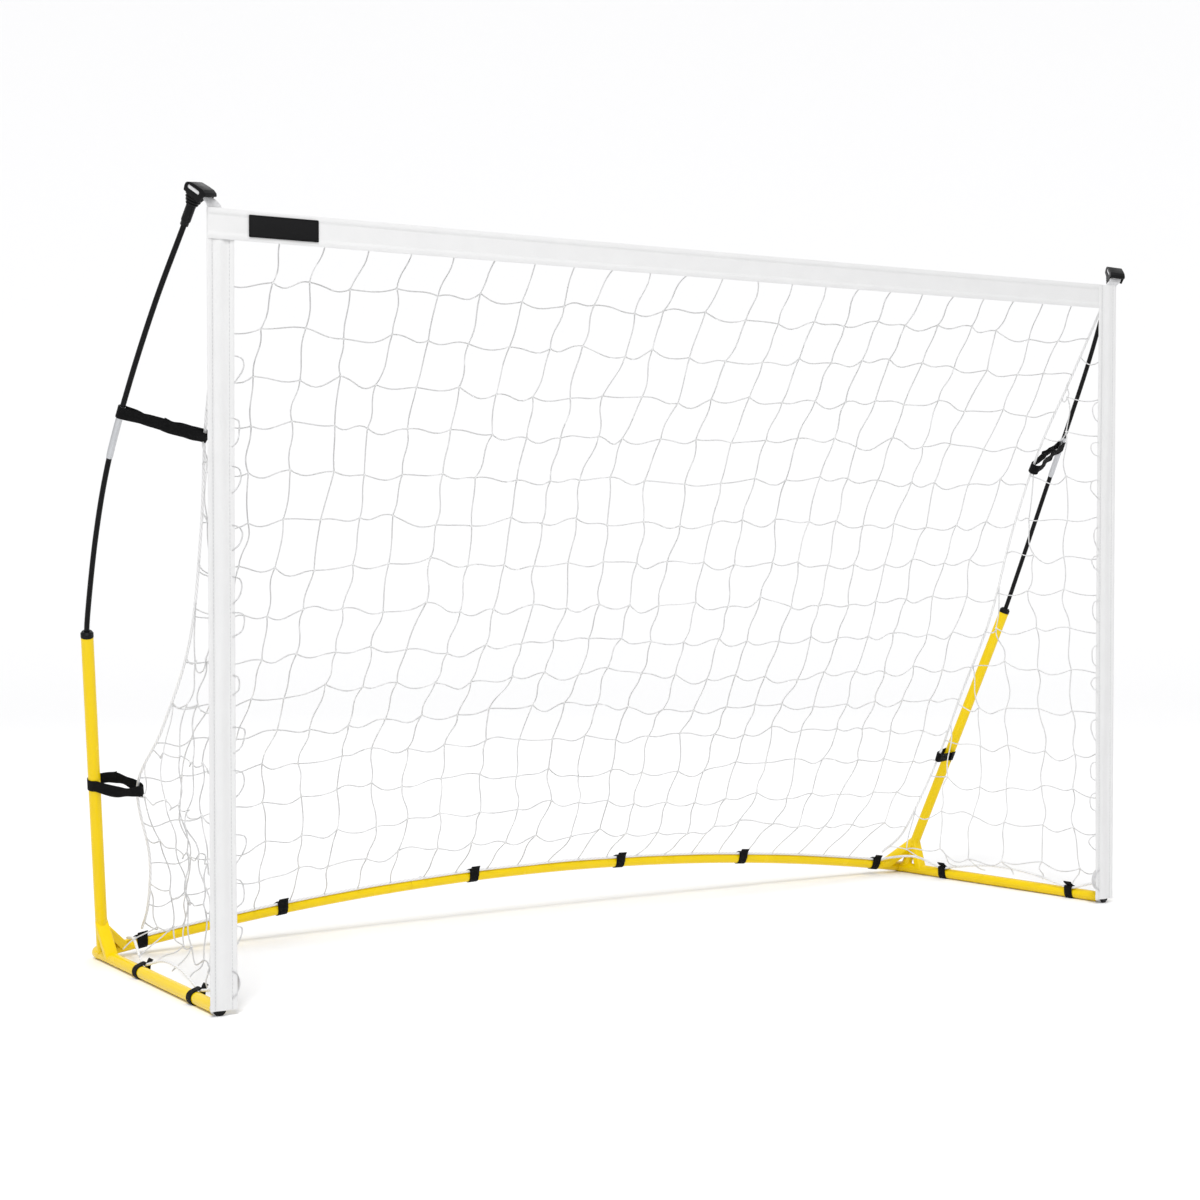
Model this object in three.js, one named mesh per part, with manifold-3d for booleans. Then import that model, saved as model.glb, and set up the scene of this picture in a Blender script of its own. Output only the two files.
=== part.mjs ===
// Portable football goal: a bent steel base in three sections, two flexible poles that
// tension the corners of the mouth, and a net tied to the base with hook-and-loop straps.
// Millimetres, +Z up. The mouth faces -Y. The origin is on the ground, in the middle.

import * as THREE from 'three';
import { mergeVertices } from 'three/addons/utils/BufferGeometryUtils.js';
import Module from 'manifold-3d';

const wasm = await Module();
wasm.setup();

// ---- driving dimensions -------------------------------------------------------------

// The mouth and its fabric bands.
const MOUTH_WIDTH = 2440;
const MOUTH_HEIGHT = 1524;
const POST_BAND_WIDTH = 57;
const CROSSBAR_BAND_HEIGHT = 58;
const BAND_THICKNESS = 1.6;
const BAND_FOOT_HEIGHT = 11;
const LABEL_WIDTH = 148;
const LABEL_HEIGHT = 42;
const LABEL_THICKNESS = 0.8;
const LABEL_FROM_CORNER = 86;

// The steel base.
const TUBE_DIAMETER = 25.4;
const TUBE_WALL = 1.2;
const FLOOR_GAP = 1;
const BASE_DEPTH = 705;
const BASE_FRONT_WIDTH = 2396;
const BASE_REAR_WIDTH = 2296;
const REAR_BAR_RISE = 90;
const CENTRE_BAR_LENGTH = 760;
const END_CAP_FLANGE = 4;
const END_CAP_INSERT = 22;
const FOOT_RADIUS = TUBE_DIAMETER / 2 + FLOOR_GAP;
const CORNER_END = 12;

// The push-button joints of the rear bar.
const SLEEVE_WALL = 1.5;
const SLEEVE_REACH = 60;
const BUTTON_FROM_SEAM = 31;
const BUTTON_DIAMETER = 7.5;
const BUTTON_PROUD = 3;
const SPRING_WIDTH = 7;
const SPRING_STRIP = 0.8;
const SPRING_LENGTH = 42;

// The uprights, which lean out and forward, and their braces.
const UPRIGHT_SETBACK = 23;
const UPRIGHT_TOP_SPREAD = 1279;
const UPRIGHT_TOP_DEPTH = 443;
const UPRIGHT_TOP_HEIGHT = 705;
const GUSSET_LEG = 68;
const GUSSET_RISE = 88;
const GUSSET_SHEET = 1.6;
const GUSSET_FLANGE = 17;
const COLLAR_HEIGHT = 13;
const COLLAR_INSERT = 24;

// The flexible poles.
const POLE_DIAMETER = 11;
const POLE_BORE = 6;
const POLE_IN_UPRIGHT = 150;
const POLE_SPLICE_HEIGHT = 1112;
const FERRULE_LENGTH = 112;
const FERRULE_WALL = 1;
const SHOCK_CORD_DIAMETER = 3;
const POLE_TIP_IN_CAP = 56;
const DRAWN_RISE = 819;

// The moulded caps on the pole tips.
const CAP_SLEEVE_RADIUS = 9.5;
const CAP_SLEEVE_LENGTH = 44;
const CAP_LENGTH = 85.5;
const CAP_HEAD_WIDTH = 36;
const CAP_HOOK_REACH = 34;
const CAP_GRIP_RADIUS = 15;
const CAP_GRIP_RIBS = 5;
const CAP_RIB_DEPTH = 1.2;
const CAP_PLATE = 2.5;
const CAP_LEAN_IN = 0.13;
const CAP_WINDOW = [26, 7];
const WEBBING_WIDTH = 25;
const WEBBING_THICKNESS = 1.6;
const WEBBING_FROM_CORNER = 20;
const WEBBING_BEHIND_BAND = 34;

// The net, its border ropes and its straps.
const ROPE_DIAMETER = 6;
const NET_THICKNESS = 1.2;
const NET_MARGIN = 14;
const STRAP_WIDTH = 25;
const STRAP_THICKNESS = 1.5;
const FOOT_LOOP_WIDTH = 12;
const REAR_STRAPS = [-1054, -715, -210, 215, 600, 1054];

// Fits.
const GAP = 0.3;
const ROPE_CLEARANCE = 1;
const STRAP_SLACK = 4.5;
const LOOP_SLACK = 5;
const BUTTON_CLEARANCE = 0.35;
const POLE_CLEARANCE = 1;

// Smoothness.
const TUBE_SIDES = 16;
const POLE_SIDES = 10;
const ROPE_SIDES = 8;
const CORD_SIDES = 6;
const PIN_SIDES = 16;

// ---- derived sizes ------------------------------------------------------------------

const TUBE_RADIUS = TUBE_DIAMETER / 2;
const TUBE_BORE = TUBE_RADIUS - TUBE_WALL;
const FACET = Math.cos(Math.PI / TUBE_SIDES);
const AXIS_HEIGHT = FOOT_RADIUS * FACET;
const ROPE_RADIUS = ROPE_DIAMETER / 2;
const POLE_RADIUS = POLE_DIAMETER / 2;
const SLEEVE_RADIUS = TUBE_BORE - GAP;
const SLEEVE_BORE = SLEEVE_RADIUS - SLEEVE_WALL;
const SPLAY = Math.atan((BASE_FRONT_WIDTH - BASE_REAR_WIDTH) / 2 / BASE_DEPTH);
const CAP_FRONT = BAND_THICKNESS + GAP + FOOT_RADIUS * Math.sin(SPLAY);
const TUBE_FRONT = CAP_FRONT + END_CAP_FLANGE + GAP;

const YELLOW = { color: 0xf5d016, roughness: 0.32, metalness: 0.1 };
const BLACK_PLASTIC = { color: 0x161617, roughness: 0.45, metalness: 0 };
const POLE_BLACK = { color: 0x111112, roughness: 0.35, metalness: 0 };
const BRIGHT_STEEL = { color: 0xb4b7ba, roughness: 0.3, metalness: 0.9 };
const WHITE_CLOTH = { color: 0xe9e9ea, roughness: 0.85, metalness: 0 };
const NET_CORD = { color: 0xe4e4e4, roughness: 0.8, metalness: 0 };
const STRAP_BLACK = { color: 0x0d0d0e, roughness: 0.95, metalness: 0 };

// ---- solids and placing -------------------------------------------------------------

const vec = (x, y, z) => new THREE.Vector3(x, y, z);

/** A geometry with shared vertices, and with its faces pointing out. */
function closed(geometry) {
  const plain = geometry.clone();
  for (const name of Object.keys(plain.attributes)) {
    if (name !== 'position') plain.deleteAttribute(name);
  }
  const merged = mergeVertices(plain, 1e-4);
  const { position } = merged.attributes;
  const index = merged.index.array;
  const corners = [vec(0, 0, 0), vec(0, 0, 0), vec(0, 0, 0)];
  const kept = [];
  let volume = 0;
  for (let i = 0; i < index.length; i += 3) {
    const [a, b, c] = [index[i], index[i + 1], index[i + 2]];
    if (a === b || b === c || c === a) continue;
    corners.forEach((corner, k) => corner.fromBufferAttribute(position, index[i + k]));
    volume += corners[0].dot(corners[1].clone().cross(corners[2]));
    kept.push(a, b, c);
  }
  if (volume < 0) {
    for (let i = 0; i < kept.length; i += 3) [kept[i], kept[i + 1]] = [kept[i + 1], kept[i]];
  }
  merged.setIndex(kept);
  return merged;
}

/** A manifold solid made from a closed geometry. */
function solid(geometry) {
  const merged = closed(geometry);
  return new wasm.Manifold(new wasm.Mesh({
    numProp: 3,
    vertProperties: new Float32Array(merged.attributes.position.array),
    triVerts: new Uint32Array(merged.index.array),
  }));
}

/** The geometry of a manifold solid. */
function geometryOf(body) {
  const mesh = body.getMesh();
  const geometry = new THREE.BufferGeometry();
  geometry.setAttribute('position', new THREE.BufferAttribute(mesh.vertProperties, 3));
  geometry.setIndex([...mesh.triVerts]);
  return geometry;
}

/** The first geometry with each of the others cut from it. */
function cut(geometry, ...tools) {
  return geometryOf(tools.reduce((body, tool) => body.subtract(solid(tool)), solid(geometry)));
}

/** All the geometries joined in one. */
function join(...geometries) {
  return geometryOf(geometries.map(solid).reduce((a, b) => a.add(b)));
}

/** A frame with its Y along the way from one point to another, and Z as near up as it can be. */
function frameAlong(from, way, up = vec(0, 0, 1)) {
  const y = way.clone().normalize();
  const x = y.clone().cross(up).normalize();
  const z = x.clone().cross(y);
  return new THREE.Matrix4().makeBasis(x, y, z).setPosition(from);
}

/** A lathed body round its own Y, with one flat facet underneath. */
function lathe(profile, sides) {
  const points = profile.map(([r, y]) => new THREE.Vector2(r, y));
  return new THREE.LatheGeometry(points, sides, Math.PI / sides);
}

/** A round tube, or a bar if bore is 0, from y = start to y = end round its own Y. */
function barrel(radius, bore, start, end, sides = TUBE_SIDES) {
  const profile = bore > 0
    ? [[bore, start], [radius, start], [radius, end], [bore, end], [bore, start]]
    : [[0, start], [radius, start], [radius, end], [0, end]];
  return lathe(profile, sides);
}

/** The points of a regular polygon that stands for a circle. */
function circle(radius, sides) {
  return Array.from({ length: sides }, (_, k) => {
    const angle = ((k + 0.5) * 2 * Math.PI) / sides;
    return new THREE.Vector2(radius * Math.cos(angle), radius * Math.sin(angle));
  });
}

/** A round section, with a bore where one is asked for, swept along a curve. */
function swept(curve, radius, bore, sides, steps) {
  const shape = new THREE.Shape(circle(radius, sides));
  if (bore > 0) shape.holes.push(new THREE.Path(circle(bore, sides).reverse()));
  return new THREE.ExtrudeGeometry(shape, { steps, extrudePath: curve, bevelEnabled: false });
}

/** An outline of [x, y] points with its thickness shared each side of its own plane. */
function plate(outline, thickness, holes = []) {
  const path = (points) => points.map(([x, y]) => new THREE.Vector2(x, y));
  const shape = new THREE.Shape(path(outline));
  shape.holes = holes.map((hole) => new THREE.Path(path(hole)));
  const geometry = new THREE.ExtrudeGeometry(shape, { depth: thickness, bevelEnabled: false });
  return geometry.translate(0, 0, -thickness / 2);
}

/** A slab, bent so that its middle surface follows at(u, v), for u and v from 0 to 1. */
function bentSlab(at, thickness, across, down) {
  const step = 1e-3;
  const points = [];
  const grid = (face, i, j) => (face * (down + 1) + j) * (across + 1) + i;
  for (const offset of [-thickness / 2, thickness / 2]) {
    for (let j = 0; j <= down; j += 1) {
      for (let i = 0; i <= across; i += 1) {
        const [u, v] = [i / across, j / down];
        const alongU = at(Math.min(1, u + step), v).sub(at(Math.max(0, u - step), v));
        const alongV = at(u, Math.min(1, v + step)).sub(at(u, Math.max(0, v - step)));
        points.push(at(u, v).addScaledVector(alongU.cross(alongV).normalize(), offset));
      }
    }
  }
  const index = [];
  const quad = (a, b, c, d) => index.push(a, b, c, a, c, d);
  for (let j = 0; j < down; j += 1) {
    for (let i = 0; i < across; i += 1) {
      const [a, b, c, d] = [[i, j], [i + 1, j], [i + 1, j + 1], [i, j + 1]];
      quad(grid(1, ...a), grid(1, ...b), grid(1, ...c), grid(1, ...d));
      quad(grid(0, ...c), grid(0, ...b), grid(0, ...a), grid(0, ...d));
    }
  }
  const rim = (a, b) => quad(grid(0, ...a), grid(0, ...b), grid(1, ...b), grid(1, ...a));
  for (let i = 0; i < across; i += 1) {
    rim([i, 0], [i + 1, 0]);
    rim([i + 1, down], [i, down]);
  }
  for (let j = 0; j < down; j += 1) {
    rim([0, j + 1], [0, j]);
    rim([across, j], [across, j + 1]);
  }
  const geometry = new THREE.BufferGeometry().setFromPoints(points);
  geometry.setIndex(index);
  return geometry;
}

/** A stretch of a curve, between two lengths along it. */
class Stretch extends THREE.Curve {
  constructor(curve, from, to) {
    super();
    this.curve = curve;
    this.from = from / curve.getLength();
    this.to = to / curve.getLength();
  }

  getPoint(t, target = vec(0, 0, 0)) {
    return target.copy(this.curve.getPointAt(this.from + (this.to - this.from) * t));
  }
}

const goal = new THREE.Group();

/** Adds a named piece. */
function piece(name, geometry, finish) {
  const mesh = new THREE.Mesh(closed(geometry), new THREE.MeshStandardMaterial(finish));
  mesh.name = name;
  goal.add(mesh);
}

const SIDES = [['left', -1], ['right', 1]];

// ---- the rear bar's arch ------------------------------------------------------------

const HALF_SPAN = BASE_REAR_WIDTH / 2;
const ARCH_RADIUS = (HALF_SPAN ** 2 + REAR_BAR_RISE ** 2) / (2 * REAR_BAR_RISE);
const ARCH_CENTRE_HEIGHT = AXIS_HEIGHT + REAR_BAR_RISE - ARCH_RADIUS;

/** A point of the rear bar's axis, at a place across the goal. */
function archPoint(x) {
  return vec(x, BASE_DEPTH, ARCH_CENTRE_HEIGHT + Math.sqrt(ARCH_RADIUS ** 2 - x ** 2));
}

/** The way out of the arch, from its centre, at a place across the goal. */
function archOut(x) {
  return vec(x, 0, Math.sqrt(ARCH_RADIUS ** 2 - x ** 2)).normalize();
}

/** The way along the arch towards +X, at a place across the goal. */
function archAlong(x) {
  return vec(0, 1, 0).cross(archOut(x));
}

class Arch extends THREE.Curve {
  constructor(from, to) {
    super();
    this.from = from;
    this.to = to;
  }

  getPoint(t, target = vec(0, 0, 0)) {
    return target.copy(archPoint(this.from + (this.to - this.from) * t));
  }
}

// ---- lines of the frame -------------------------------------------------------------

/** A point of a side tube's axis, at a distance behind the mouth. */
function sidePoint(side, y) {
  const half = BASE_FRONT_WIDTH / 2 + ((BASE_REAR_WIDTH - BASE_FRONT_WIDTH) / 2) * (y / BASE_DEPTH);
  return vec(side * half, y, AXIS_HEIGHT);
}

const uprightFoot = (side) => sidePoint(side, BASE_DEPTH - UPRIGHT_SETBACK);
const uprightTop = (side) => vec(side * UPRIGHT_TOP_SPREAD, UPRIGHT_TOP_DEPTH, UPRIGHT_TOP_HEIGHT);
const uprightWay = (side) => uprightTop(side).sub(uprightFoot(side)).normalize();

/** A point of an upright's axis, at a length from its top. */
function uprightPoint(side, fromTop) {
  return uprightTop(side).addScaledVector(uprightWay(side), fromTop);
}

/** A height on a path drawn for DRAWN_RISE, which stretches with the mouth above the uprights. */
function heightOnPath(drawn) {
  const above = Math.max(0, drawn - UPRIGHT_TOP_HEIGHT);
  return drawn - above + (above * (MOUTH_HEIGHT - UPRIGHT_TOP_HEIGHT)) / DRAWN_RISE;
}

/** A pole's centre line: straight in the upright, then bent over to the mouth's corner. */
function poleCurve(side) {
  const bent = [
    [1293, 365, 900], [1294, 298, 1048], [1285, 222, 1190], [1266, 129, 1357], [1242, 53, 1494],
    [1234, 26, 1542],
  ];
  const inUpright = [
    -POLE_IN_UPRIGHT, -POLE_IN_UPRIGHT / 2, 0, COLLAR_HEIGHT, COLLAR_HEIGHT * 1.5,
  ];
  return new THREE.CatmullRomCurve3([
    ...inUpright.map((length) => uprightPoint(side, length)),
    ...bent.map(([x, y, z]) => vec(side * x, y, heightOnPath(z))),
  ], false, 'centripetal');
}

/** The length along a curve at which it reaches a height. */
function lengthAtHeight(curve, height) {
  const total = curve.getLength();
  let [low, high] = [0, 1];
  for (let i = 0; i < 40; i += 1) {
    const middle = (low + high) / 2;
    if (curve.getPointAt(middle).z < height) low = middle;
    else high = middle;
  }
  return low * total;
}

// ---- steel base ---------------------------------------------------------------------

/** The place of a side tube: its own Y runs from front to rear. */
function sideFrame(side) {
  const from = sidePoint(side, TUBE_FRONT);
  return frameAlong(from, sidePoint(side, BASE_DEPTH).sub(from));
}

const SIDE_LENGTH = sidePoint(1, BASE_DEPTH).sub(sidePoint(1, TUBE_FRONT)).length();

/** A side tube, closed at the rear corner by a slightly swollen welded end. */
function sideTube(side) {
  const end = SIDE_LENGTH + CORNER_END;
  const swell = SIDE_LENGTH - TUBE_RADIUS;
  const profile = [
    [0, end], [FOOT_RADIUS * 0.72, end - 1.5], [FOOT_RADIUS, end - 6], [FOOT_RADIUS, swell],
    [TUBE_RADIUS, swell - 6], [TUBE_RADIUS, 0], [TUBE_BORE, 0], [TUBE_BORE, end - 8],
    [0, end - 3],
  ];
  return lathe(profile, TUBE_SIDES).applyMatrix4(sideFrame(side));
}

/** A solid bar in a side tube's place, which cuts what meets it. */
function sideCutter(side) {
  const bar = barrel(TUBE_RADIUS + GAP, 0, 0, SIDE_LENGTH - TUBE_RADIUS - 6);
  const end = barrel(FOOT_RADIUS + GAP, 0, SIDE_LENGTH - TUBE_RADIUS - 7, SIDE_LENGTH + CORNER_END);
  return join(bar, end).applyMatrix4(sideFrame(side));
}

/** A solid bar in the rear bar's place at one corner, which cuts what meets it. */
function rearCutter(side) {
  const curve = new Arch(side * (HALF_SPAN - 160), side * (HALF_SPAN + 10));
  return swept(curve, TUBE_RADIUS + GAP, 0, TUBE_SIDES, 4);
}

/** A solid bar in an upright's place, which cuts what meets it. */
function uprightCutter(side) {
  const length = uprightTop(side).sub(uprightFoot(side)).length();
  return barrel(TUBE_RADIUS + GAP, 0, -10, length / 2).applyMatrix4(
    frameAlong(uprightFoot(side), uprightWay(side), vec(0, 1, 0)),
  );
}

/** The upright, coped round the side tube and the rear bar at its foot. */
function uprightTube(side) {
  const length = uprightTop(side).sub(uprightFoot(side)).length();
  const tube = barrel(TUBE_RADIUS, TUBE_BORE, 0, length)
    .applyMatrix4(frameAlong(uprightFoot(side), uprightWay(side), vec(0, 1, 0)));
  return cut(tube, sideCutter(side), rearCutter(side));
}

/** The place of a push button: its own Y points out of the bar. */
function buttonFrame(side) {
  const x = side * (CENTRE_BAR_LENGTH / 2 - BUTTON_FROM_SEAM);
  return frameAlong(archPoint(x), archOut(x), vec(0, -1, 0));
}

/** The hole that a push button moves in. */
function buttonHole(side) {
  const hole = barrel(BUTTON_DIAMETER / 2 + BUTTON_CLEARANCE, 0, 2, TUBE_DIAMETER, PIN_SIDES);
  return hole.applyMatrix4(buttonFrame(side));
}

/** An outer section of the rear bar, coped onto the side tube. */
function rearTube(side) {
  const curve = new Arch(side * (CENTRE_BAR_LENGTH / 2 + GAP / 2), side * HALF_SPAN);
  return cut(swept(curve, TUBE_RADIUS, TUBE_BORE, TUBE_SIDES, 8), sideCutter(side));
}

/** The middle section of the rear bar, with a hole for each button. */
function centreTube() {
  const half = CENTRE_BAR_LENGTH / 2 - GAP / 2;
  const tube = swept(new Arch(-half, half), TUBE_RADIUS, TUBE_BORE, TUBE_SIDES, 8);
  return cut(tube, buttonHole(-1), buttonHole(1));
}

/** The inner sleeve that is fixed in an outer section and slides into the middle one. */
function jointSleeve(side) {
  const seam = CENTRE_BAR_LENGTH / 2;
  const curve = new Arch(side * (seam - SLEEVE_REACH), side * (seam + SLEEVE_REACH));
  return cut(swept(curve, SLEEVE_RADIUS, SLEEVE_BORE, TUBE_SIDES, 3), buttonHole(side));
}

/** A domed push button. */
function snapButton(side) {
  const radius = BUTTON_DIAMETER / 2;
  const top = TUBE_RADIUS + BUTTON_PROUD;
  const foot = SLEEVE_BORE * 0.62;
  const profile = [[0, foot], [radius, foot], [radius, top - 1.6], [radius * 0.72, top - 0.4], [0, top]];
  return lathe(profile, PIN_SIDES).applyMatrix4(buttonFrame(side));
}

/** The bent strip that pushes a button out: its own X runs along the bar. */
function buttonSpring(side) {
  const high = SLEEVE_BORE * 0.62 - GAP;
  const low = -SLEEVE_BORE * 0.82;
  const near = -SPRING_LENGTH * 0.22;
  const far = near + SPRING_LENGTH;
  const middle = (high + low) / 2;
  const outline = [
    [near, high], [near, high - SPRING_STRIP], [far - 4, middle + 2], [far - 3, middle],
    [far - 4, middle - 2], [near, low + SPRING_STRIP], [near, low], [far - 3, middle - 3.2],
    [far - 1.8, middle], [far - 3, middle + 3.2],
  ];
  return plate(outline, SPRING_WIDTH).applyMatrix4(buttonFrame(side));
}

/** A black plug in a side tube's front end. */
function endCap(side) {
  const profile = [
    [0, -END_CAP_FLANGE - GAP], [FOOT_RADIUS - 2.5, -END_CAP_FLANGE - GAP],
    [FOOT_RADIUS, -END_CAP_FLANGE + 1.5], [FOOT_RADIUS, -GAP], [TUBE_BORE - GAP, -GAP],
    [TUBE_BORE - GAP - 0.8, END_CAP_INSERT], [TUBE_BORE - 3, END_CAP_INSERT],
    [TUBE_BORE - 3, 0], [0, 0],
  ];
  return lathe(profile, TUBE_SIDES).applyMatrix4(sideFrame(side));
}

/**
 * A folded channel that braces two tubes. a and b are the points of their axes that it
 * reaches, corner is where the axes meet, and others are solids that it stays clear of.
 */
function gusset(side, corner, a, b, ...others) {
  const mid = a.clone().add(b).multiplyScalar(0.5);
  const x = b.clone().sub(a).normalize();
  const inward = corner.clone().sub(mid);
  const y = inward.addScaledVector(x, -inward.dot(x)).normalize();
  const place = new THREE.Matrix4().makeBasis(x, y, x.clone().cross(y)).setPosition(mid);
  const half = a.distanceTo(b) / 2;
  const rise = corner.clone().sub(mid).dot(y);
  const bias = corner.clone().sub(mid).dot(x);
  const at = (depth, end) => [end * half + ((bias - end * half) * depth) / rise, depth];
  const strip = (depth) => [at(0, -1), at(0, 1), at(depth, 1), at(depth, -1)];
  const web = plate(strip(GUSSET_SHEET), TUBE_DIAMETER);
  const flanges = [-1, 1].map((face) => plate(strip(GUSSET_FLANGE), GUSSET_SHEET)
    .translate(0, 0, (face * (TUBE_DIAMETER - GUSSET_SHEET)) / 2));
  return cut(
    join(web, ...flanges).applyMatrix4(place),
    sideCutter(side), rearCutter(side), uprightCutter(side), ...others,
  );
}

/** The space in front of an upright that its side gusset takes up. */
function gussetSpace(side) {
  const foot = uprightFoot(side);
  const width = TUBE_DIAMETER + 2 * GAP;
  return new THREE.BoxGeometry(width, GUSSET_LEG, 2 * GUSSET_RISE)
    .translate(0, -GUSSET_LEG / 2, GUSSET_RISE)
    .applyMatrix4(new THREE.Matrix4().makeShear(0, uprightWay(side).x / uprightWay(side).z, 0, 0, 0, 0))
    .translate(foot.x, foot.y - TUBE_RADIUS / 2, foot.z);
}

piece('rear_tube_centre', centreTube(), YELLOW);
for (const [word, side] of SIDES) {
  const foot = uprightFoot(side);
  const up = foot.clone().addScaledVector(uprightWay(side), GUSSET_RISE);
  const forward = sidePoint(side, BASE_DEPTH - UPRIGHT_SETBACK - GUSSET_LEG);
  const inboard = archPoint(side * (HALF_SPAN - GUSSET_LEG));
  const rearCorner = foot.clone().setY(BASE_DEPTH - UPRIGHT_SETBACK / 2);
  piece(`side_tube_${word}`, sideTube(side), YELLOW);
  piece(`rear_tube_${word}`, rearTube(side), YELLOW);
  piece(`upright_tube_${word}`, uprightTube(side), YELLOW);
  piece(`side_gusset_${word}`, gusset(side, foot, up, forward), YELLOW);
  piece(`rear_gusset_${word}`, gusset(side, rearCorner, up, inboard, gussetSpace(side)), YELLOW);
  piece(`joint_sleeve_${word}`, jointSleeve(side), BRIGHT_STEEL);
  piece(`snap_button_${word}`, snapButton(side), BRIGHT_STEEL);
  piece(`button_spring_${word}`, buttonSpring(side), BRIGHT_STEEL);
  piece(`end_cap_${word}`, endCap(side), BLACK_PLASTIC);
}

// ---- poles --------------------------------------------------------------------------

/** The black collar in an upright's top, which the pole passes through. */
function poleCollar(side) {
  const bore = POLE_RADIUS + POLE_CLEARANCE;
  const profile = [
    [bore, -COLLAR_INSERT], [TUBE_BORE - GAP - 0.6, -COLLAR_INSERT], [TUBE_BORE - GAP, 0],
    [TUBE_BORE - GAP, GAP], [TUBE_RADIUS, GAP], [TUBE_RADIUS, COLLAR_HEIGHT - 2.5],
    [TUBE_RADIUS - 2, COLLAR_HEIGHT], [bore, COLLAR_HEIGHT], [bore, -COLLAR_INSERT],
  ];
  return lathe(profile, TUBE_SIDES)
    .applyMatrix4(frameAlong(uprightTop(side), uprightWay(side), vec(0, 1, 0)));
}

/** The place of a tip cap: Y along the pole, Z towards the mouth. */
function capFrame(side) {
  const curve = poleCurve(side);
  const way = curve.getTangentAt(1);
  const tip = curve.getPointAt(1);
  return frameAlong(tip.addScaledVector(way, -POLE_TIP_IN_CAP), way, vec(-side * CAP_LEAN_IN, 0, -1));
}

/** The points of a slot with round ends, centred on a place in its plane. */
function slotOutline(x, y, length, height) {
  const half = (length - height) / 2;
  return Array.from({ length: 12 }, (_, k) => {
    const angle = (-Math.PI / 2) + (Math.floor(k / 6) * Math.PI) + ((k % 6) * Math.PI) / 5;
    const end = k < 6 ? half : -half;
    return [x + end + (height / 2) * Math.cos(angle), y + (height / 2) * Math.sin(angle)];
  });
}

/** A moulded tip cap: a sleeve, a ribbed grip, and a hollow head that hooks the webbing. */
function tipCap(side) {
  const bore = POLE_RADIUS + GAP;
  const gripFoot = CAP_SLEEVE_LENGTH - 4;
  const gripTop = CAP_LENGTH - 18;
  const profile = [[0, POLE_TIP_IN_CAP + 2], [bore, POLE_TIP_IN_CAP + 2], [bore, 0]];
  profile.push([CAP_SLEEVE_RADIUS, 0], [CAP_SLEEVE_RADIUS, gripFoot]);
  for (let rib = 0; rib < CAP_GRIP_RIBS; rib += 1) {
    for (const [part, depth] of [[0.15, CAP_RIB_DEPTH], [0.5, 0], [0.85, 0]]) {
      const share = (rib + part) / CAP_GRIP_RIBS;
      const flare = Math.sin((share * Math.PI) / 2);
      const radius = CAP_SLEEVE_RADIUS + (CAP_GRIP_RADIUS - CAP_SLEEVE_RADIUS) * flare;
      profile.push([radius - depth, gripFoot + (gripTop - gripFoot) * share]);
    }
  }
  profile.push([CAP_GRIP_RADIUS, gripTop], [0, gripTop]);
  const grip = lathe(profile, TUBE_SIDES);
  const back = -CAP_GRIP_RADIUS;
  const front = CAP_HOOK_REACH;
  const top = CAP_LENGTH;
  const headOutline = [
    [back + 1, gripTop - 3], [back, top - 8], [back + 4, top - 2], [back + 12, top], [10, top],
    [24, top - 1], [front - 3, top - 4], [front, top - 8], [front, top - 12],
    [front - 4, top - 15], [front - 12, top - 15], [CAP_GRIP_RADIUS, gripTop - 3],
  ];
  const turned = new THREE.Matrix4().makeBasis(vec(0, 0, 1), vec(0, 1, 0), vec(-1, 0, 0));
  const headBlock = plate(headOutline, CAP_HEAD_WIDTH).applyMatrix4(turned);
  const hollow = plate([
    [back + CAP_PLATE, gripTop + 1], [back + CAP_PLATE, top - 2 * CAP_PLATE],
    [back + 12, top - CAP_PLATE], [10, top - CAP_PLATE], [22, top - CAP_PLATE - 1],
    [front - 5, top - 7], [front - 6, top - 30], [CAP_GRIP_RADIUS + 1, gripTop - 8],
    [CAP_GRIP_RADIUS - 1, gripTop + 1],
  ], CAP_HEAD_WIDTH - 2 * CAP_PLATE).applyMatrix4(turned);
  const window = plate(
    slotOutline(4, gripTop + 7, ...CAP_WINDOW),
    CAP_HEAD_WIDTH + 10,
  ).applyMatrix4(turned);
  return cut(join(grip, headBlock), hollow, window).applyMatrix4(capFrame(side));
}

/** The white webbing that ties the mouth's corner into the tip cap's head. */
function cornerWebbing(side) {
  const head = vec(0, CAP_LENGTH - 11.5, 0).applyMatrix4(capFrame(side));
  const lip = vec(0, CAP_LENGTH - 14, CAP_HOOK_REACH - 12).applyMatrix4(capFrame(side));
  const mouth = vec(0, CAP_LENGTH - 20, CAP_HOOK_REACH - 11).applyMatrix4(capFrame(side));
  const behind = BAND_THICKNESS + GAP + WEBBING_THICKNESS / 2;
  const across = side * (MOUTH_WIDTH / 2 - WEBBING_FROM_CORNER);
  const path = new THREE.CatmullRomCurve3([
    vec(across, behind, MOUTH_HEIGHT - WEBBING_BEHIND_BAND),
    vec(across, behind, MOUTH_HEIGHT + 3),
    mouth,
    lip,
    head,
  ], false, 'centripetal');
  const wide = vec(1, 0, 0).transformDirection(capFrame(side));
  const headWay = wide.multiplyScalar(Math.sign(wide.x));
  const acrossAt = (v) => vec(1, 0, 0).lerp(headWay, Math.min(1, Math.max(0, 4 * v - 1)));
  const middle = (u, v) => path.getPoint(v)
    .addScaledVector(acrossAt(v).normalize(), (u - 0.5) * WEBBING_WIDTH);
  return bentSlab(middle, WEBBING_THICKNESS, 1, 12);
}

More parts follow.
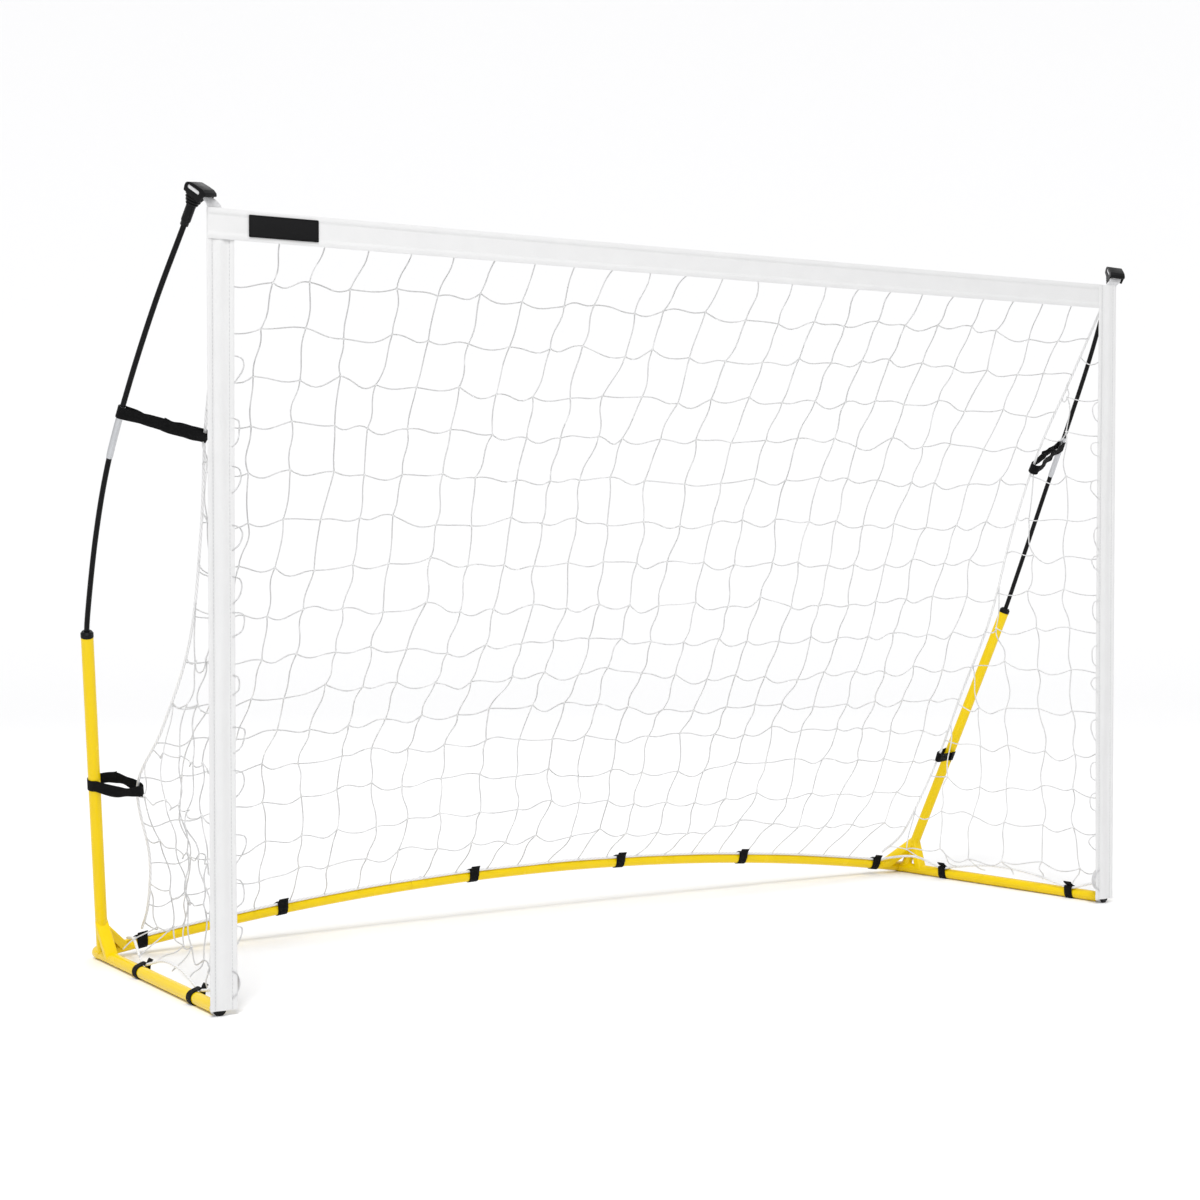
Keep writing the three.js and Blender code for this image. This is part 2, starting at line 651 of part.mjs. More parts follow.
for (const [word, side] of SIDES) {
  const curve = poleCurve(side);
  const total = curve.getLength();
  const splice = lengthAtHeight(curve, POLE_SPLICE_HEIGHT);
  const lower = new Stretch(curve, 0, splice - GAP);
  const upper = new Stretch(curve, splice + GAP, total);
  const ferrule = new Stretch(curve, splice - FERRULE_LENGTH / 2, splice + FERRULE_LENGTH / 2);
  const cord = new Stretch(curve, 4, total - 4);
  const ferruleBore = POLE_RADIUS + GAP;
  piece(`pole_collar_${word}`, poleCollar(side), BLACK_PLASTIC);
  piece(`lower_pole_${word}`, swept(lower, POLE_RADIUS, POLE_BORE / 2, POLE_SIDES, 26), POLE_BLACK);
  piece(`upper_pole_${word}`, swept(upper, POLE_RADIUS, POLE_BORE / 2, POLE_SIDES, 9), POLE_BLACK);
  piece(
    `ferrule_${word}`,
    swept(ferrule, ferruleBore + FERRULE_WALL, ferruleBore, POLE_SIDES, 4),
    BRIGHT_STEEL,
  );
  piece(`shock_cord_${word}`, swept(cord, SHOCK_CORD_DIAMETER / 2, 0, CORD_SIDES, 22), WHITE_CLOTH);
  piece(`tip_cap_${word}`, tipCap(side), BLACK_PLASTIC);
  piece(`corner_webbing_${word}`, cornerWebbing(side), WHITE_CLOTH);
}

// ---- border ropes -------------------------------------------------------------------

const ROPE_ON_TUBE = TUBE_RADIUS + ROPE_CLEARANCE + ROPE_RADIUS;
const ROPE_LEAN = vec(0, -0.6, 0.8);
const POLE_STRAP_HEIGHT = { left: 1150, right: 1140 };
const UPRIGHT_STRAP_HEIGHT = { left: 396, right: 325 };
const SIDE_STRAPS = { left: [137, 446], right: [109, 536] };

const ROPE_INBOARD = 34;
const ROPE_BELOW_TOP = 38;
const CORNER_TIE = [MOUTH_WIDTH / 2 - ROPE_INBOARD, 6, MOUTH_HEIGHT - ROPE_BELOW_TOP];

/** The places where each sloping border rope is, from the mouth's top corner to the rear bar. */
const EDGE_ROPE = {
  left: [
    CORNER_TIE, [1160, 92, 1300], [1140, 178, 1138], [1118, 250, 920], [1110, 326, 690],
    [1124, 430, 510], [1135, 528, 385], [1096, 556, 230], [1080, 604, 120], [1062, 676, 62],
  ],
  right: [
    CORNER_TIE, [1160, 92, 1300], [1140, 178, 1128], [1118, 250, 920], [1112, 326, 690],
    [1116, 430, 500], [1135, 540, 318], [1096, 580, 190], [1082, 625, 110], [1062, 676, 62],
  ],
};

/** A sloping border rope's centre line. */
function edgeCurve(word, side) {
  const [[across, back, height], ...rest] = EDGE_ROPE[word];
  return new THREE.CatmullRomCurve3([
    vec(side * across, back, height),
    ...rest.map(([x, y, z]) => vec(side * x, y, heightOnPath(z))),
  ]);
}

/** A point of the bottom border rope where it lies along the rear bar, or lifts off it. */
function ropeOnRear(x, lift = 0) {
  return archPoint(x).addScaledVector(ROPE_LEAN, ROPE_ON_TUBE + lift);
}

/** A point of the bottom border rope where it lies along a side tube. */
function ropeOnSide(side, y) {
  return sidePoint(side, y).add(vec(-side * ROPE_ON_TUBE * 0.6, 0, ROPE_ON_TUBE * 0.8));
}

/** The bottom border rope, from one post's foot round the base to the other's. */
function bottomCurve() {
  const sidePoints = (word, side) => {
    const [front, back] = SIDE_STRAPS[word];
    const post = side * (MOUTH_WIDTH / 2 - POST_BAND_WIDTH / 2);
    return [
      vec(post, CAP_FRONT + 2 * ROPE_RADIUS, 2 * FOOT_RADIUS + 22),
      vec(post - side * 6, CAP_FRONT + 40, 2 * FOOT_RADIUS + 14),
      ropeOnSide(side, front - 14), ropeOnSide(side, front + 14),
      ropeOnSide(side, (front + back) / 2),
      ropeOnSide(side, back - 14), ropeOnSide(side, back + 14),
      vec(side * (HALF_SPAN - 34), BASE_DEPTH - 105, AXIS_HEIGHT + 34),
    ];
  };
  const lastStop = REAR_STRAPS[REAR_STRAPS.length - 1] + STRAP_WIDTH / 2 + 7;
  const spacing = (2 * lastStop - 60) / 16;
  const rearStops = Array.from({ length: 17 }, (_, k) => 30 - lastStop + k * spacing);
  return new THREE.CatmullRomCurve3([
    ...sidePoints('left', -1),
    ropeOnRear(-lastStop - 14, 6),
    ropeOnRear(-lastStop),
    ...rearStops.map((x) => ropeOnRear(x)),
    ropeOnRear(lastStop),
    ropeOnRear(lastStop + 14, 6),
    ...sidePoints('right', 1).reverse(),
  ], false, 'centripetal');
}

for (const [word, side] of SIDES) {
  piece(`edge_rope_${word}`, swept(edgeCurve(word, side), ROPE_RADIUS, 0, ROPE_SIDES, 36), NET_CORD);
}
piece('bottom_rope', swept(bottomCurve(), ROPE_RADIUS, 0, ROPE_SIDES, 78), NET_CORD);

// ---- fabric bands -------------------------------------------------------------------

/** A flat band that hangs in the plane of the mouth. */
function band(width, height, x, z) {
  return new THREE.BoxGeometry(width, BAND_THICKNESS, height)
    .translate(x, BAND_THICKNESS / 2, z);
}

const POST_HEIGHT = MOUTH_HEIGHT - BAND_FOOT_HEIGHT;
const CROSSBAR_LENGTH = MOUTH_WIDTH - 2 * (POST_BAND_WIDTH + GAP);
const CROSSBAR_MIDDLE = MOUTH_HEIGHT - CROSSBAR_BAND_HEIGHT / 2;

/** The elastic loop at a post's foot, which slips over the side tube's end. */
function footLoop(side) {
  const inner = TUBE_RADIUS + GAP;
  const start = 3;
  const ring = barrel(inner + STRAP_THICKNESS, inner, start, start + FOOT_LOOP_WIDTH);
  const floor = new THREE.BoxGeometry(200, 200, 20).translate(side * BASE_FRONT_WIDTH / 2, 50, -10);
  return cut(ring.applyMatrix4(sideFrame(side)), floor);
}

piece('crossbar_band', band(CROSSBAR_LENGTH, CROSSBAR_BAND_HEIGHT, 0, CROSSBAR_MIDDLE), WHITE_CLOTH);
piece(
  'label_patch',
  new THREE.BoxGeometry(LABEL_WIDTH, LABEL_THICKNESS, LABEL_HEIGHT).translate(
    LABEL_FROM_CORNER + LABEL_WIDTH / 2 - MOUTH_WIDTH / 2,
    -GAP - LABEL_THICKNESS / 2,
    CROSSBAR_MIDDLE,
  ),
  STRAP_BLACK,
);
for (const [word, side] of SIDES) {
  const x = side * (MOUTH_WIDTH - POST_BAND_WIDTH) / 2;
  const z = BAND_FOOT_HEIGHT + POST_HEIGHT / 2;
  piece(`post_band_${word}`, band(POST_BAND_WIDTH, POST_HEIGHT, x, z), WHITE_CLOTH);
  piece(`foot_loop_${word}`, footLoop(side), WHITE_CLOTH);
}

// ---- net ----------------------------------------------------------------------------

/** The back of the net, from the crossbar down to the rear bar's rope. */
function netBack() {
  const [left, right] = [edgeCurve('left', -1), edgeCurve('right', 1)];
  const behind = BAND_THICKNESS + GAP + NET_THICKNESS;
  const middle = (u, v) => {
    const down = 0.02 + 0.955 * v;
    const a = left.getPointAt(down);
    const b = right.getPointAt(down);
    a.x += NET_MARGIN;
    b.x -= NET_MARGIN;
    const point = a.lerp(b, u);
    const bow = 4 * u * (1 - u);
    const lift = archPoint(0).z - archPoint(HALF_SPAN - 90).z;
    point.z += bow * lift * v ** 3;
    point.y += bow * 60 * Math.sin(Math.PI * v) * (1 - 0.4 * v);
    point.y = Math.max(behind, point.y);
    return point;
  };
  return bentSlab(middle, NET_THICKNESS, 14, 14);
}

/** A triangular side of the net, from a post to the sloping rope. */
function netSide(word, side) {
  const rope = edgeCurve(word, side);
  const post = MOUTH_WIDTH / 2 - POST_BAND_WIDTH / 3;
  const middle = (u, v) => {
    const far = rope.getPointAt(0.1 + 0.875 * v);
    const near = vec(side * post, BAND_THICKNESS + 12, far.z);
    const way = near.clone().sub(far).normalize();
    const alongRope = Math.abs(way.dot(rope.getTangentAt(0.1 + 0.875 * v)));
    far.addScaledVector(way, NET_MARGIN / Math.sqrt(1 - Math.min(0.9, alongRope) ** 2));
    return near.lerp(far, u);
  };
  return bentSlab(middle, NET_THICKNESS, 3, 12);
}

piece('net_back', netBack(), NET_CORD);
for (const [word, side] of SIDES) piece(`net_side_${word}`, netSide(word, side), NET_CORD);

// ---- straps -------------------------------------------------------------------------

const ROPE_END_STEPS = 6;
const TUBE_END_STEPS = 16;

/** The outline of a belt round two circles: one at the origin, one at a place in the plane. */
function beltOutline(radius, otherRadius, x, y, grow) {
  const distance = Math.hypot(x, y);
  const lean = Math.atan2(y, x);
  const open = Math.acos(Math.max(-1, Math.min(1, (radius - otherRadius) / distance)));
  const points = [];
  const arc = (cx, cy, r, from, to, steps) => {
    const outside = (r + grow) / Math.cos((to - from) / (2 * steps));
    for (let k = 0; k <= steps; k += 1) {
      const angle = from + ((to - from) * k) / steps;
      points.push([cx + outside * Math.cos(angle), cy + outside * Math.sin(angle)]);
    }
  };
  arc(x, y, otherRadius, lean - open, lean + open, ROPE_END_STEPS);
  arc(0, 0, radius, lean + open, lean + 2 * Math.PI - open, TUBE_END_STEPS);
  return points;
}

/** A strap round a tube and a rope. The tube's axis passes through at, along way. */
function strap(at, way, radius, ropeAt, slack) {
  const place = frameAlong(at, way);
  const toPlane = new THREE.Matrix4().makeBasis(vec(1, 0, 0), vec(0, 0, 1), vec(0, -1, 0));
  const frame = place.multiply(toPlane);
  const local = ropeAt.clone().applyMatrix4(frame.clone().invert());
  const outline = (grow) => beltOutline(radius, ROPE_RADIUS + slack, local.x, local.y, grow);
  const inner = outline(GAP).reverse();
  return plate(outline(GAP + STRAP_THICKNESS), STRAP_WIDTH, [inner]).applyMatrix4(frame);
}

/** The same strap, pressed thin where the tube rests on it. */
function pressed(geometry, at) {
  const floor = new THREE.BoxGeometry(200, 200, 20).translate(at.x, at.y, -10);
  return cut(geometry, floor);
}

/** The point of a curve nearest to the plane that is square to a way at a place. */
function pointAcross(curve, at, way) {
  let [best, least] = [at, Infinity];
  for (let k = 0; k <= 1200; k += 1) {
    const point = curve.getPointAt(k / 1200);
    const off = Math.abs(point.clone().sub(at).dot(way));
    const far = point.distanceTo(at);
    if (off < 1.5 && far < least) [best, least] = [point, far];
  }
  return best;
}

REAR_STRAPS.forEach((x, k) => {
  const loop = strap(archPoint(x), archAlong(x), TUBE_RADIUS, ropeOnRear(x), STRAP_SLACK);
  piece(`rear_strap_${k + 1}`, loop, STRAP_BLACK);
});
for (const [word, side] of SIDES) {
  SIDE_STRAPS[word].forEach((y, k) => {
    const at = sidePoint(side, y);
    const way = sidePoint(side, y + 1).sub(at);
    const loop = strap(at, way, TUBE_RADIUS, ropeOnSide(side, y), STRAP_SLACK);
    piece(`side_strap_${word}_${k + 1}`, pressed(loop, at), STRAP_BLACK);
  });
  const edge = edgeCurve(word, side);
  const drop = (UPRIGHT_STRAP_HEIGHT[word] - UPRIGHT_TOP_HEIGHT) / uprightWay(side).z;
  const onUpright = uprightPoint(side, drop);
  const low = pointAcross(edge, onUpright, uprightWay(side));
  const lowLoop = strap(onUpright, uprightWay(side), TUBE_RADIUS, low, LOOP_SLACK);
  piece(`upright_strap_${word}`, lowLoop, STRAP_BLACK);
  const pole = poleCurve(side);
  const share = lengthAtHeight(pole, POLE_STRAP_HEIGHT[word]) / pole.getLength();
  const onPole = pole.getPointAt(share);
  const poleWay = pole.getTangentAt(share);
  const high = pointAcross(edge, onPole, poleWay);
  const ferruleRadius = POLE_RADIUS + GAP + FERRULE_WALL;
  const highLoop = strap(onPole, poleWay, ferruleRadius, high, LOOP_SLACK);
  piece(`pole_strap_${word}`, highLoop, STRAP_BLACK);
}

goal.position.y = -new THREE.Box3().setFromObject(goal).getCenter(vec(0, 0, 0)).y;

export default goal;
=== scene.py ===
"""Looks for a portable football goal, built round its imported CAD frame.

The steel base, snap joints, flexible poles, moulded caps, fabric bands, net, border ropes
and hook-and-loop straps are each modelled and dressed by a class of their own. Lengths in
the classes are millimetres, measured from the mouth's plane, and meshes are in metres.
"""

import logging
import math
import random
from collections.abc import Callable, Sequence
from dataclasses import dataclass, field
from enum import Enum

import bmesh
import bpy
from mathutils import Matrix, Vector, noise


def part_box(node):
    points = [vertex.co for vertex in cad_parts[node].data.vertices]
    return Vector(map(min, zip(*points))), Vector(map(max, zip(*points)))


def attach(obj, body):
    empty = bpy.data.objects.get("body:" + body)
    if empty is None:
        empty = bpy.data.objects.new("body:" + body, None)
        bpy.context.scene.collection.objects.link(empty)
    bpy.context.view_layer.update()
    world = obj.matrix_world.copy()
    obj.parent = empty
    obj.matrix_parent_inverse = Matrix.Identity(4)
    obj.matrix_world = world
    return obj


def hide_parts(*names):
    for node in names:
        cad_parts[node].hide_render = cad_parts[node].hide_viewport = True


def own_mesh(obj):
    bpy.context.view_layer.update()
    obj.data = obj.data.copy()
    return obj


LOG = logging.getLogger("goal")
MM = 0.001
UP = Vector((0.0, 0.0, 1.0))
ACROSS = Vector((1.0, 0.0, 0.0))
TAU = 2.0 * math.pi

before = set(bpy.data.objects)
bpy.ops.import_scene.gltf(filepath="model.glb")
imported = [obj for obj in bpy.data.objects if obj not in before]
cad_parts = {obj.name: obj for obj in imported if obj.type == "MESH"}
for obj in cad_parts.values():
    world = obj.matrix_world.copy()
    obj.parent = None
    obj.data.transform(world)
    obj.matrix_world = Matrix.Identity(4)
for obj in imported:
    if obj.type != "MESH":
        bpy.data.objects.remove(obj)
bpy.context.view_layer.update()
MOUTH_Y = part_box("crossbar_band")[0].y

Section = Sequence[tuple[float, float]]


class Side(Enum):
    """The two sides of the goal, as seen from the field."""

    LEFT = -1
    RIGHT = 1

    @property
    def word(self) -> str:
        """The side's name in piece names."""
        return self.name.lower()


class Weave(Enum):
    """How a cloth's threads run."""

    PLAIN = "plain"
    RIBBED = "ribbed"
    PILE = "pile"


# ---- places and paths ---------------------------------------------------------------------


def place(x: float, y: float, z: float) -> Vector:
    """A point given in millimetres, with y measured back from the mouth's plane."""
    return Vector((x * MM, MOUTH_Y + y * MM, z * MM))


def curved(points: Sequence[Vector], step: float) -> list[Vector]:
    """A smooth line through points, with a point at about every step.

    Args:
        points: the points that the line passes through, in metres.
        step: the spacing of the result, in metres.

    Returns:
        Evenly spaced points from the first point to the last.
    """
    ends = [2 * points[0] - points[1], *points, 2 * points[-1] - points[-2]]
    dense: list[Vector] = []
    for p0, p1, p2, p3 in zip(ends, ends[1:], ends[2:], ends[3:]):
        t1 = math.sqrt((p1 - p0).length)
        t2 = t1 + math.sqrt((p2 - p1).length)
        t3 = t2 + math.sqrt((p3 - p2).length)
        for k in range(24):
            t = t1 + (t2 - t1) * k / 24
            a1 = p0.lerp(p1, t / t1)
            a2 = p1.lerp(p2, (t - t1) / (t2 - t1))
            a3 = p2.lerp(p3, (t - t2) / (t3 - t2))
            b1 = a1.lerp(a2, t / t2)
            b2 = a2.lerp(a3, (t - t1) / (t3 - t1))
            dense.append(b1.lerp(b2, (t - t1) / (t2 - t1)))
    dense.append(points[-1].copy())
    return evenly(dense, step)


def evenly(points: Sequence[Vector], step: float) -> list[Vector]:
    """The same line with evenly spaced points.

    Args:
        points: the line's points.
        step: the wanted spacing, in metres.

    Returns:
        The points, both ends among them.
    """
    reach = [0.0]
    for a, b in zip(points, points[1:]):
        reach.append(reach[-1] + (b - a).length)
    count = max(2, round(reach[-1] / step) + 1)
    found, k = [], 0
    for i in range(count):
        want = reach[-1] * i / (count - 1)
        while k < len(points) - 2 and reach[k + 1] < want:
            k += 1
        share = (want - reach[k]) / max(1e-9, reach[k + 1] - reach[k])
        found.append(points[k].lerp(points[k + 1], min(1.0, max(0.0, share))))
    return found


def length_of(points: Sequence[Vector]) -> float:
    """The length of a line of points, in metres."""
    return sum((b - a).length for a, b in zip(points, points[1:]))


def part_of(points: Sequence[Vector], start: float, end: float, step: float) -> list[Vector]:
    """A stretch of a line.

    Args:
        points: the whole line.
        start: where the stretch starts, in metres from the line's start.
        end: where it ends, in metres.
        step: the spacing of the result.

    Returns:
        Evenly spaced points of the stretch.
    """
    fine = evenly(points, 0.001)
    spacing = length_of(fine) / (len(fine) - 1)
    first, last = round(start / spacing), round(end / spacing)
    return evenly(fine[max(0, first) : last + 1], step)


def at_height(points: Sequence[Vector], z: float) -> float:
    """The length along a line, in metres, at which it reaches a height in millimetres."""
    fine = evenly(points, 0.001)
    best = min(range(len(fine)), key=lambda k: abs(fine[k].z - z * MM))
    return length_of(fine) * best / (len(fine) - 1)


def frames_along(points: Sequence[Vector], across: Vector) -> list[Matrix]:
    """Frames on a line, with Z along it and X as near to across as it can be.

    Args:
        points: the line's points.
        across: the direction that X keeps to.

    Returns:
        One matrix for each point.
    """
    frames = []
    for i, point in enumerate(points):
        z = (points[min(i + 1, len(points) - 1)] - points[max(i - 1, 0)]).normalized()
        x = (across - across.dot(z) * z).normalized()
        frames.append(frame_at(point, x, z))
    return frames


def frame_at(point: Vector, x: Vector, z: Vector) -> Matrix:
    """A frame at a point, from its X and Z directions."""
    x = (x - x.dot(z) * z).normalized()
    y = z.cross(x)
    frame = Matrix((x, y, z)).transposed().to_4x4()
    frame.translation = point
    return frame


def aim(point: Vector, way: Vector, x: Vector = ACROSS) -> Matrix:
    """A frame at a point, with Z along way and X as near to x as it can be."""
    return frame_at(point, x, way.normalized())


# ---- meshes -------------------------------------------------------------------------------


def circle(radius: float, sides: int) -> list[tuple[float, float]]:
    """The points of a circle, in metres."""
    return [
        (radius * math.cos(TAU * k / sides), radius * math.sin(TAU * k / sides))
        for k in range(sides)
    ]


def tape(width: float, thickness: float, columns: int = 6) -> list[tuple[float, float]]:
    """The outline of a flat tape's section, with its two edges rounded.

    Args:
        width: across the tape, in metres.
        thickness: through it, in metres.
        columns: the number of faces across it.

    Returns:
        The points, going round.
    """
    half, deep = width / 2, thickness / 2
    inner = [-half + deep + (width - thickness) * k / columns for k in range(columns + 1)]
    lower = [(x, -deep) for x in inner]
    upper = [(x, deep) for x in reversed(inner)]
    return [*lower, (half - deep * 0.2, 0.0), *upper, (-half + deep * 0.2, 0.0)]


def sweep(
    mesh: bmesh.types.BMesh,
    frames: Sequence[Matrix],
    section: Section | Callable[[int], Section],
    capped: bool = True,
) -> None:
    """Extrudes a closed section along frames, with a UV map in metres.

    Args:
        mesh: what the sweep is added to.
        frames: where the section goes, one after another.
        section: its points, or a function of the frame's number that gives them.
        capped: whether the two ends are closed.
    """
    shape = section if callable(section) else lambda _: section
    uv = mesh.loops.layers.uv.verify()
    first = shape(0)
    count = len(first)
    around = [0.0]
    for k in range(count):
        a, b = Vector(first[k]), Vector(first[(k + 1) % count])
        around.append(around[-1] + (b - a).length)
    ring = [mesh.verts.new(frames[0] @ Vector((x, y, 0.0))) for x, y in first]
    edges = [mesh.edges.new((ring[k], ring[(k + 1) % count])) for k in range(count)]
    ends = [edges]
    reach = 0.0
    for number, frame in enumerate(frames[1:], start=1):
        made = bmesh.ops.extrude_edge_only(mesh, edges=edges)["geom"]
        new = {item for item in made if isinstance(item, bmesh.types.BMVert)}
        following = [
            next(e.other_vert(v) for e in v.link_edges if e.other_vert(v) in new) for v in ring
        ]
        for vert, (x, y) in zip(following, shape(number)):
            vert.co = frame @ Vector((x, y, 0.0))
        next_reach = reach + (frame.translation - frames[number - 1].translation).length
        for k in range(count):
            j = (k + 1) % count
            spots = {
                ring[k]: (around[k], reach),
                ring[j]: (around[k + 1], reach),
                following[k]: (around[k], next_reach),
                following[j]: (around[k + 1], next_reach),
            }
            edge = mesh.edges.get((following[k], following[j]))
            face = next(f for f in edge.link_faces if ring[k] in f.verts)
            for loop in face.loops:
                loop[uv].uv = spots[loop.vert]
        ring, reach = following, next_reach
        edges = [mesh.edges.get((ring[k], ring[(k + 1) % count])) for k in range(count)]
    ends.append(edges)
    if capped:
        for end in ends:
            bmesh.ops.contextual_create(mesh, geom=end)


def turned(profile: Sequence[tuple[float, float]], frame: Matrix, sides: int) -> bmesh.types.BMesh:
    """A body of revolution about a frame's Z.

    Args:
        profile: (radius, height) pairs in millimetres.
        frame: where it goes.
        sides: the number of facets round it.

    Returns:
        The closed mesh.
    """
    mesh = bmesh.new()
    verts = [mesh.verts.new((r * MM, 0.0, z * MM)) for r, z in profile]
    edges = [mesh.edges.new(pair) for pair in zip(verts, verts[1:])]
    bmesh.ops.spin(
        mesh, geom=[*verts, *edges], axis=(0, 0, 1), cent=(0, 0, 0), angle=TAU, steps=sides,
        use_merge=True,
    )
    bmesh.ops.remove_doubles(mesh, verts=mesh.verts, dist=1e-6)
    bmesh.ops.recalc_face_normals(mesh, faces=mesh.faces)
    bmesh.ops.transform(mesh, matrix=frame, verts=mesh.verts)
    return mesh


def plate(
    outline: Sequence[tuple[float, float]], thickness: float, bevel: float = 0.0, segments: int = 3
) -> bmesh.types.BMesh:
    """A flat plate in its own XY plane, with rounded edges.

    Args:
        outline: its corners in millimetres.
        thickness: in millimetres, shared each side of the plane.
        bevel: the radius of its edges, in millimetres.
        segments: how many faces round each edge.

    Returns:
        The closed mesh.
    """
    mesh = bmesh.new()
    verts = [mesh.verts.new((x * MM, y * MM, -thickness * MM / 2)) for x, y in outline]
    face = mesh.faces.new(verts)
    made = bmesh.ops.extrude_face_region(mesh, geom=[face])["geom"]
    moved = [item for item in made if isinstance(item, bmesh.types.BMVert)]
    bmesh.ops.translate(mesh, vec=(0, 0, thickness * MM), verts=moved)
    bmesh.ops.recalc_face_normals(mesh, faces=mesh.faces)
    if bevel > 0:
        bmesh.ops.bevel(
            mesh, geom=list(mesh.edges), offset=bevel * MM, segments=segments, profile=0.5,
            affect="EDGES", material=-1, clamp_overlap=True,
        )
    return mesh


def thing(name: str, mesh: bmesh.types.BMesh, sharp: float = 35.0) -> bpy.types.Object:
    """An object made of a mesh, smooth except at edges sharper than an angle in degrees."""
    data = bpy.data.meshes.new(name)
    bmesh.ops.recalc_face_normals(mesh, faces=mesh.faces)
    mesh.to_mesh(data)
    mesh.free()
    data.shade_smooth()
    data.set_sharp_from_angle(angle=math.radians(sharp))
    made = bpy.data.objects.new(name, data)
    bpy.context.scene.collection.objects.link(made)
    return made


def settle(piece: bpy.types.Object) -> bpy.types.Object:
    """Applies the piece's modifiers to its mesh."""
    graph = bpy.context.evaluated_depsgraph_get()
    data = bpy.data.meshes.new_from_object(piece.evaluated_get(graph))
    piece.modifiers.clear()
    piece.data = data
    return piece


def carve(piece: bpy.types.Object, *cutters: bpy.types.Object, add: bool = False) -> None:
    """Cuts solids out of a piece, or joins them to it, and removes them.

    Args:
        piece: what is cut.
        cutters: the solids.
        add: joins them in place of cutting.
    """
    for cutter in cutters:
        modifier = piece.modifiers.new("carve", "BOOLEAN")
        modifier.object = cutter
        modifier.operation = "UNION" if add else "DIFFERENCE"
        modifier.solver = "EXACT"
    settle(piece)
    for cutter in cutters:
        bpy.data.objects.remove(cutter)


def soften(piece: bpy.types.Object, width: float, segments: int = 2) -> bpy.types.Object:
    """Rounds a piece's sharp edges, by a width in millimetres."""
    modifier = piece.modifiers.new("soften", "BEVEL")
    modifier.width = width * MM
    modifier.segments = segments
    modifier.limit_method = "ANGLE"
    modifier.angle_limit = math.radians(38)
    modifier.harden_normals = True
    return settle(piece)


def wander(point: Vector, size: float, seed: float) -> Vector:
    """Smooth noise from -1 to 1 on each axis, with bumps of about a size in metres."""
    return noise.noise_vector(point / size + Vector((seed, 2.3 * seed, -1.7 * seed)))


# ---- materials ----------------------------------------------------------------------------


class Shade:
    """A node tree that is being filled in."""

    def __init__(self, tree: bpy.types.NodeTree) -> None:
        """Starts with the tree as it is."""
        self.tree = tree

    def node(self, kind: str, **values: object) -> bpy.types.Node:
        """Adds a node.

        Args:
            kind: the node's type, without its ShaderNode prefix.
            values: properties, or inputs by their name with _ for a space. A socket is linked.

        Returns:
            The node.
        """
        made = self.tree.nodes.new(f"ShaderNode{kind}")
        for key, value in values.items():
            name = key.replace("_", " ")
            index = int(key[1:]) if key[0] == "i" and key[1:].isdigit() else None
            if index is None and name not in made.inputs:
                setattr(made, key, value)
                continue
            socket = made.inputs[name if index is None else index]
            if isinstance(value, bpy.types.NodeSocket):
                self.tree.links.new(value, socket)
            else:
                socket.default_value = value
        return made

    def sum(self, operation: str, *values: object) -> bpy.types.NodeSocket:
        """The output of a Math node with those inputs."""
        named = {f"i{k}": value for k, value in enumerate(values)}
        return self.node("Math", operation=operation, **named).outputs[0]

    def blend(self, factor: object, a: object, b: object) -> bpy.types.NodeSocket:
        """The colour between a and b."""
        return self.node("Mix", data_type="RGBA", i0=factor, i6=a, i7=b).outputs[2]

    def ramp(self, value: object, low: float, high: float, start: float, end: float) -> object:
        """A value mapped from one range to another, and kept in it."""
        named = {"i0": value, "i1": low, "i2": high, "i3": start, "i4": end}
        return self.node("MapRange", **named).outputs[0]


def group(
    name: str, inputs: dict[str, float], outputs: Sequence[str],
    fill: Callable[[Shade, bpy.types.Node], dict[str, bpy.types.NodeSocket]],
) -> bpy.types.NodeTree:
    """A shader node group, built once.

    Args:
        name: the group's name.
        inputs: its float inputs and their defaults.
        outputs: its float outputs.
        fill: makes its nodes and returns a socket for each output.

    Returns:
        The group.
    """
    if name in bpy.data.node_groups:
        return bpy.data.node_groups[name]
    tree = bpy.data.node_groups.new(name, "ShaderNodeTree")
    for key, value in inputs.items():
        socket = tree.interface.new_socket(key, in_out="INPUT", socket_type="NodeSocketFloat")
        socket.default_value = value
    for key in outputs:
        tree.interface.new_socket(key, in_out="OUTPUT", socket_type="NodeSocketFloat")
    start = tree.nodes.new("NodeGroupInput")
    end = tree.nodes.new("NodeGroupOutput")
    for key, socket in fill(Shade(tree), start).items():
        tree.links.new(socket, end.inputs[key])
    return tree


def grain_group() -> bpy.types.NodeTree:
    """Fine surface grain, and broad cloudy variation."""

    def fill(shade: Shade, start: bpy.types.Node) -> dict[str, bpy.types.NodeSocket]:
        """Two noises on Object coordinates."""
        where = shade.node("TexCoord").outputs["Object"]
        fine = shade.node("TexNoise", Vector=where, Scale=start.outputs["Fine"], Detail=3.0)
        broad = shade.node("TexNoise", Vector=where, Scale=start.outputs["Broad"], Detail=2.0)
        return {"Grain": fine.outputs[0], "Cloud": broad.outputs[0]}

    return group("surface grain", {"Fine": 900.0, "Broad": 9.0}, ["Grain", "Cloud"], fill)


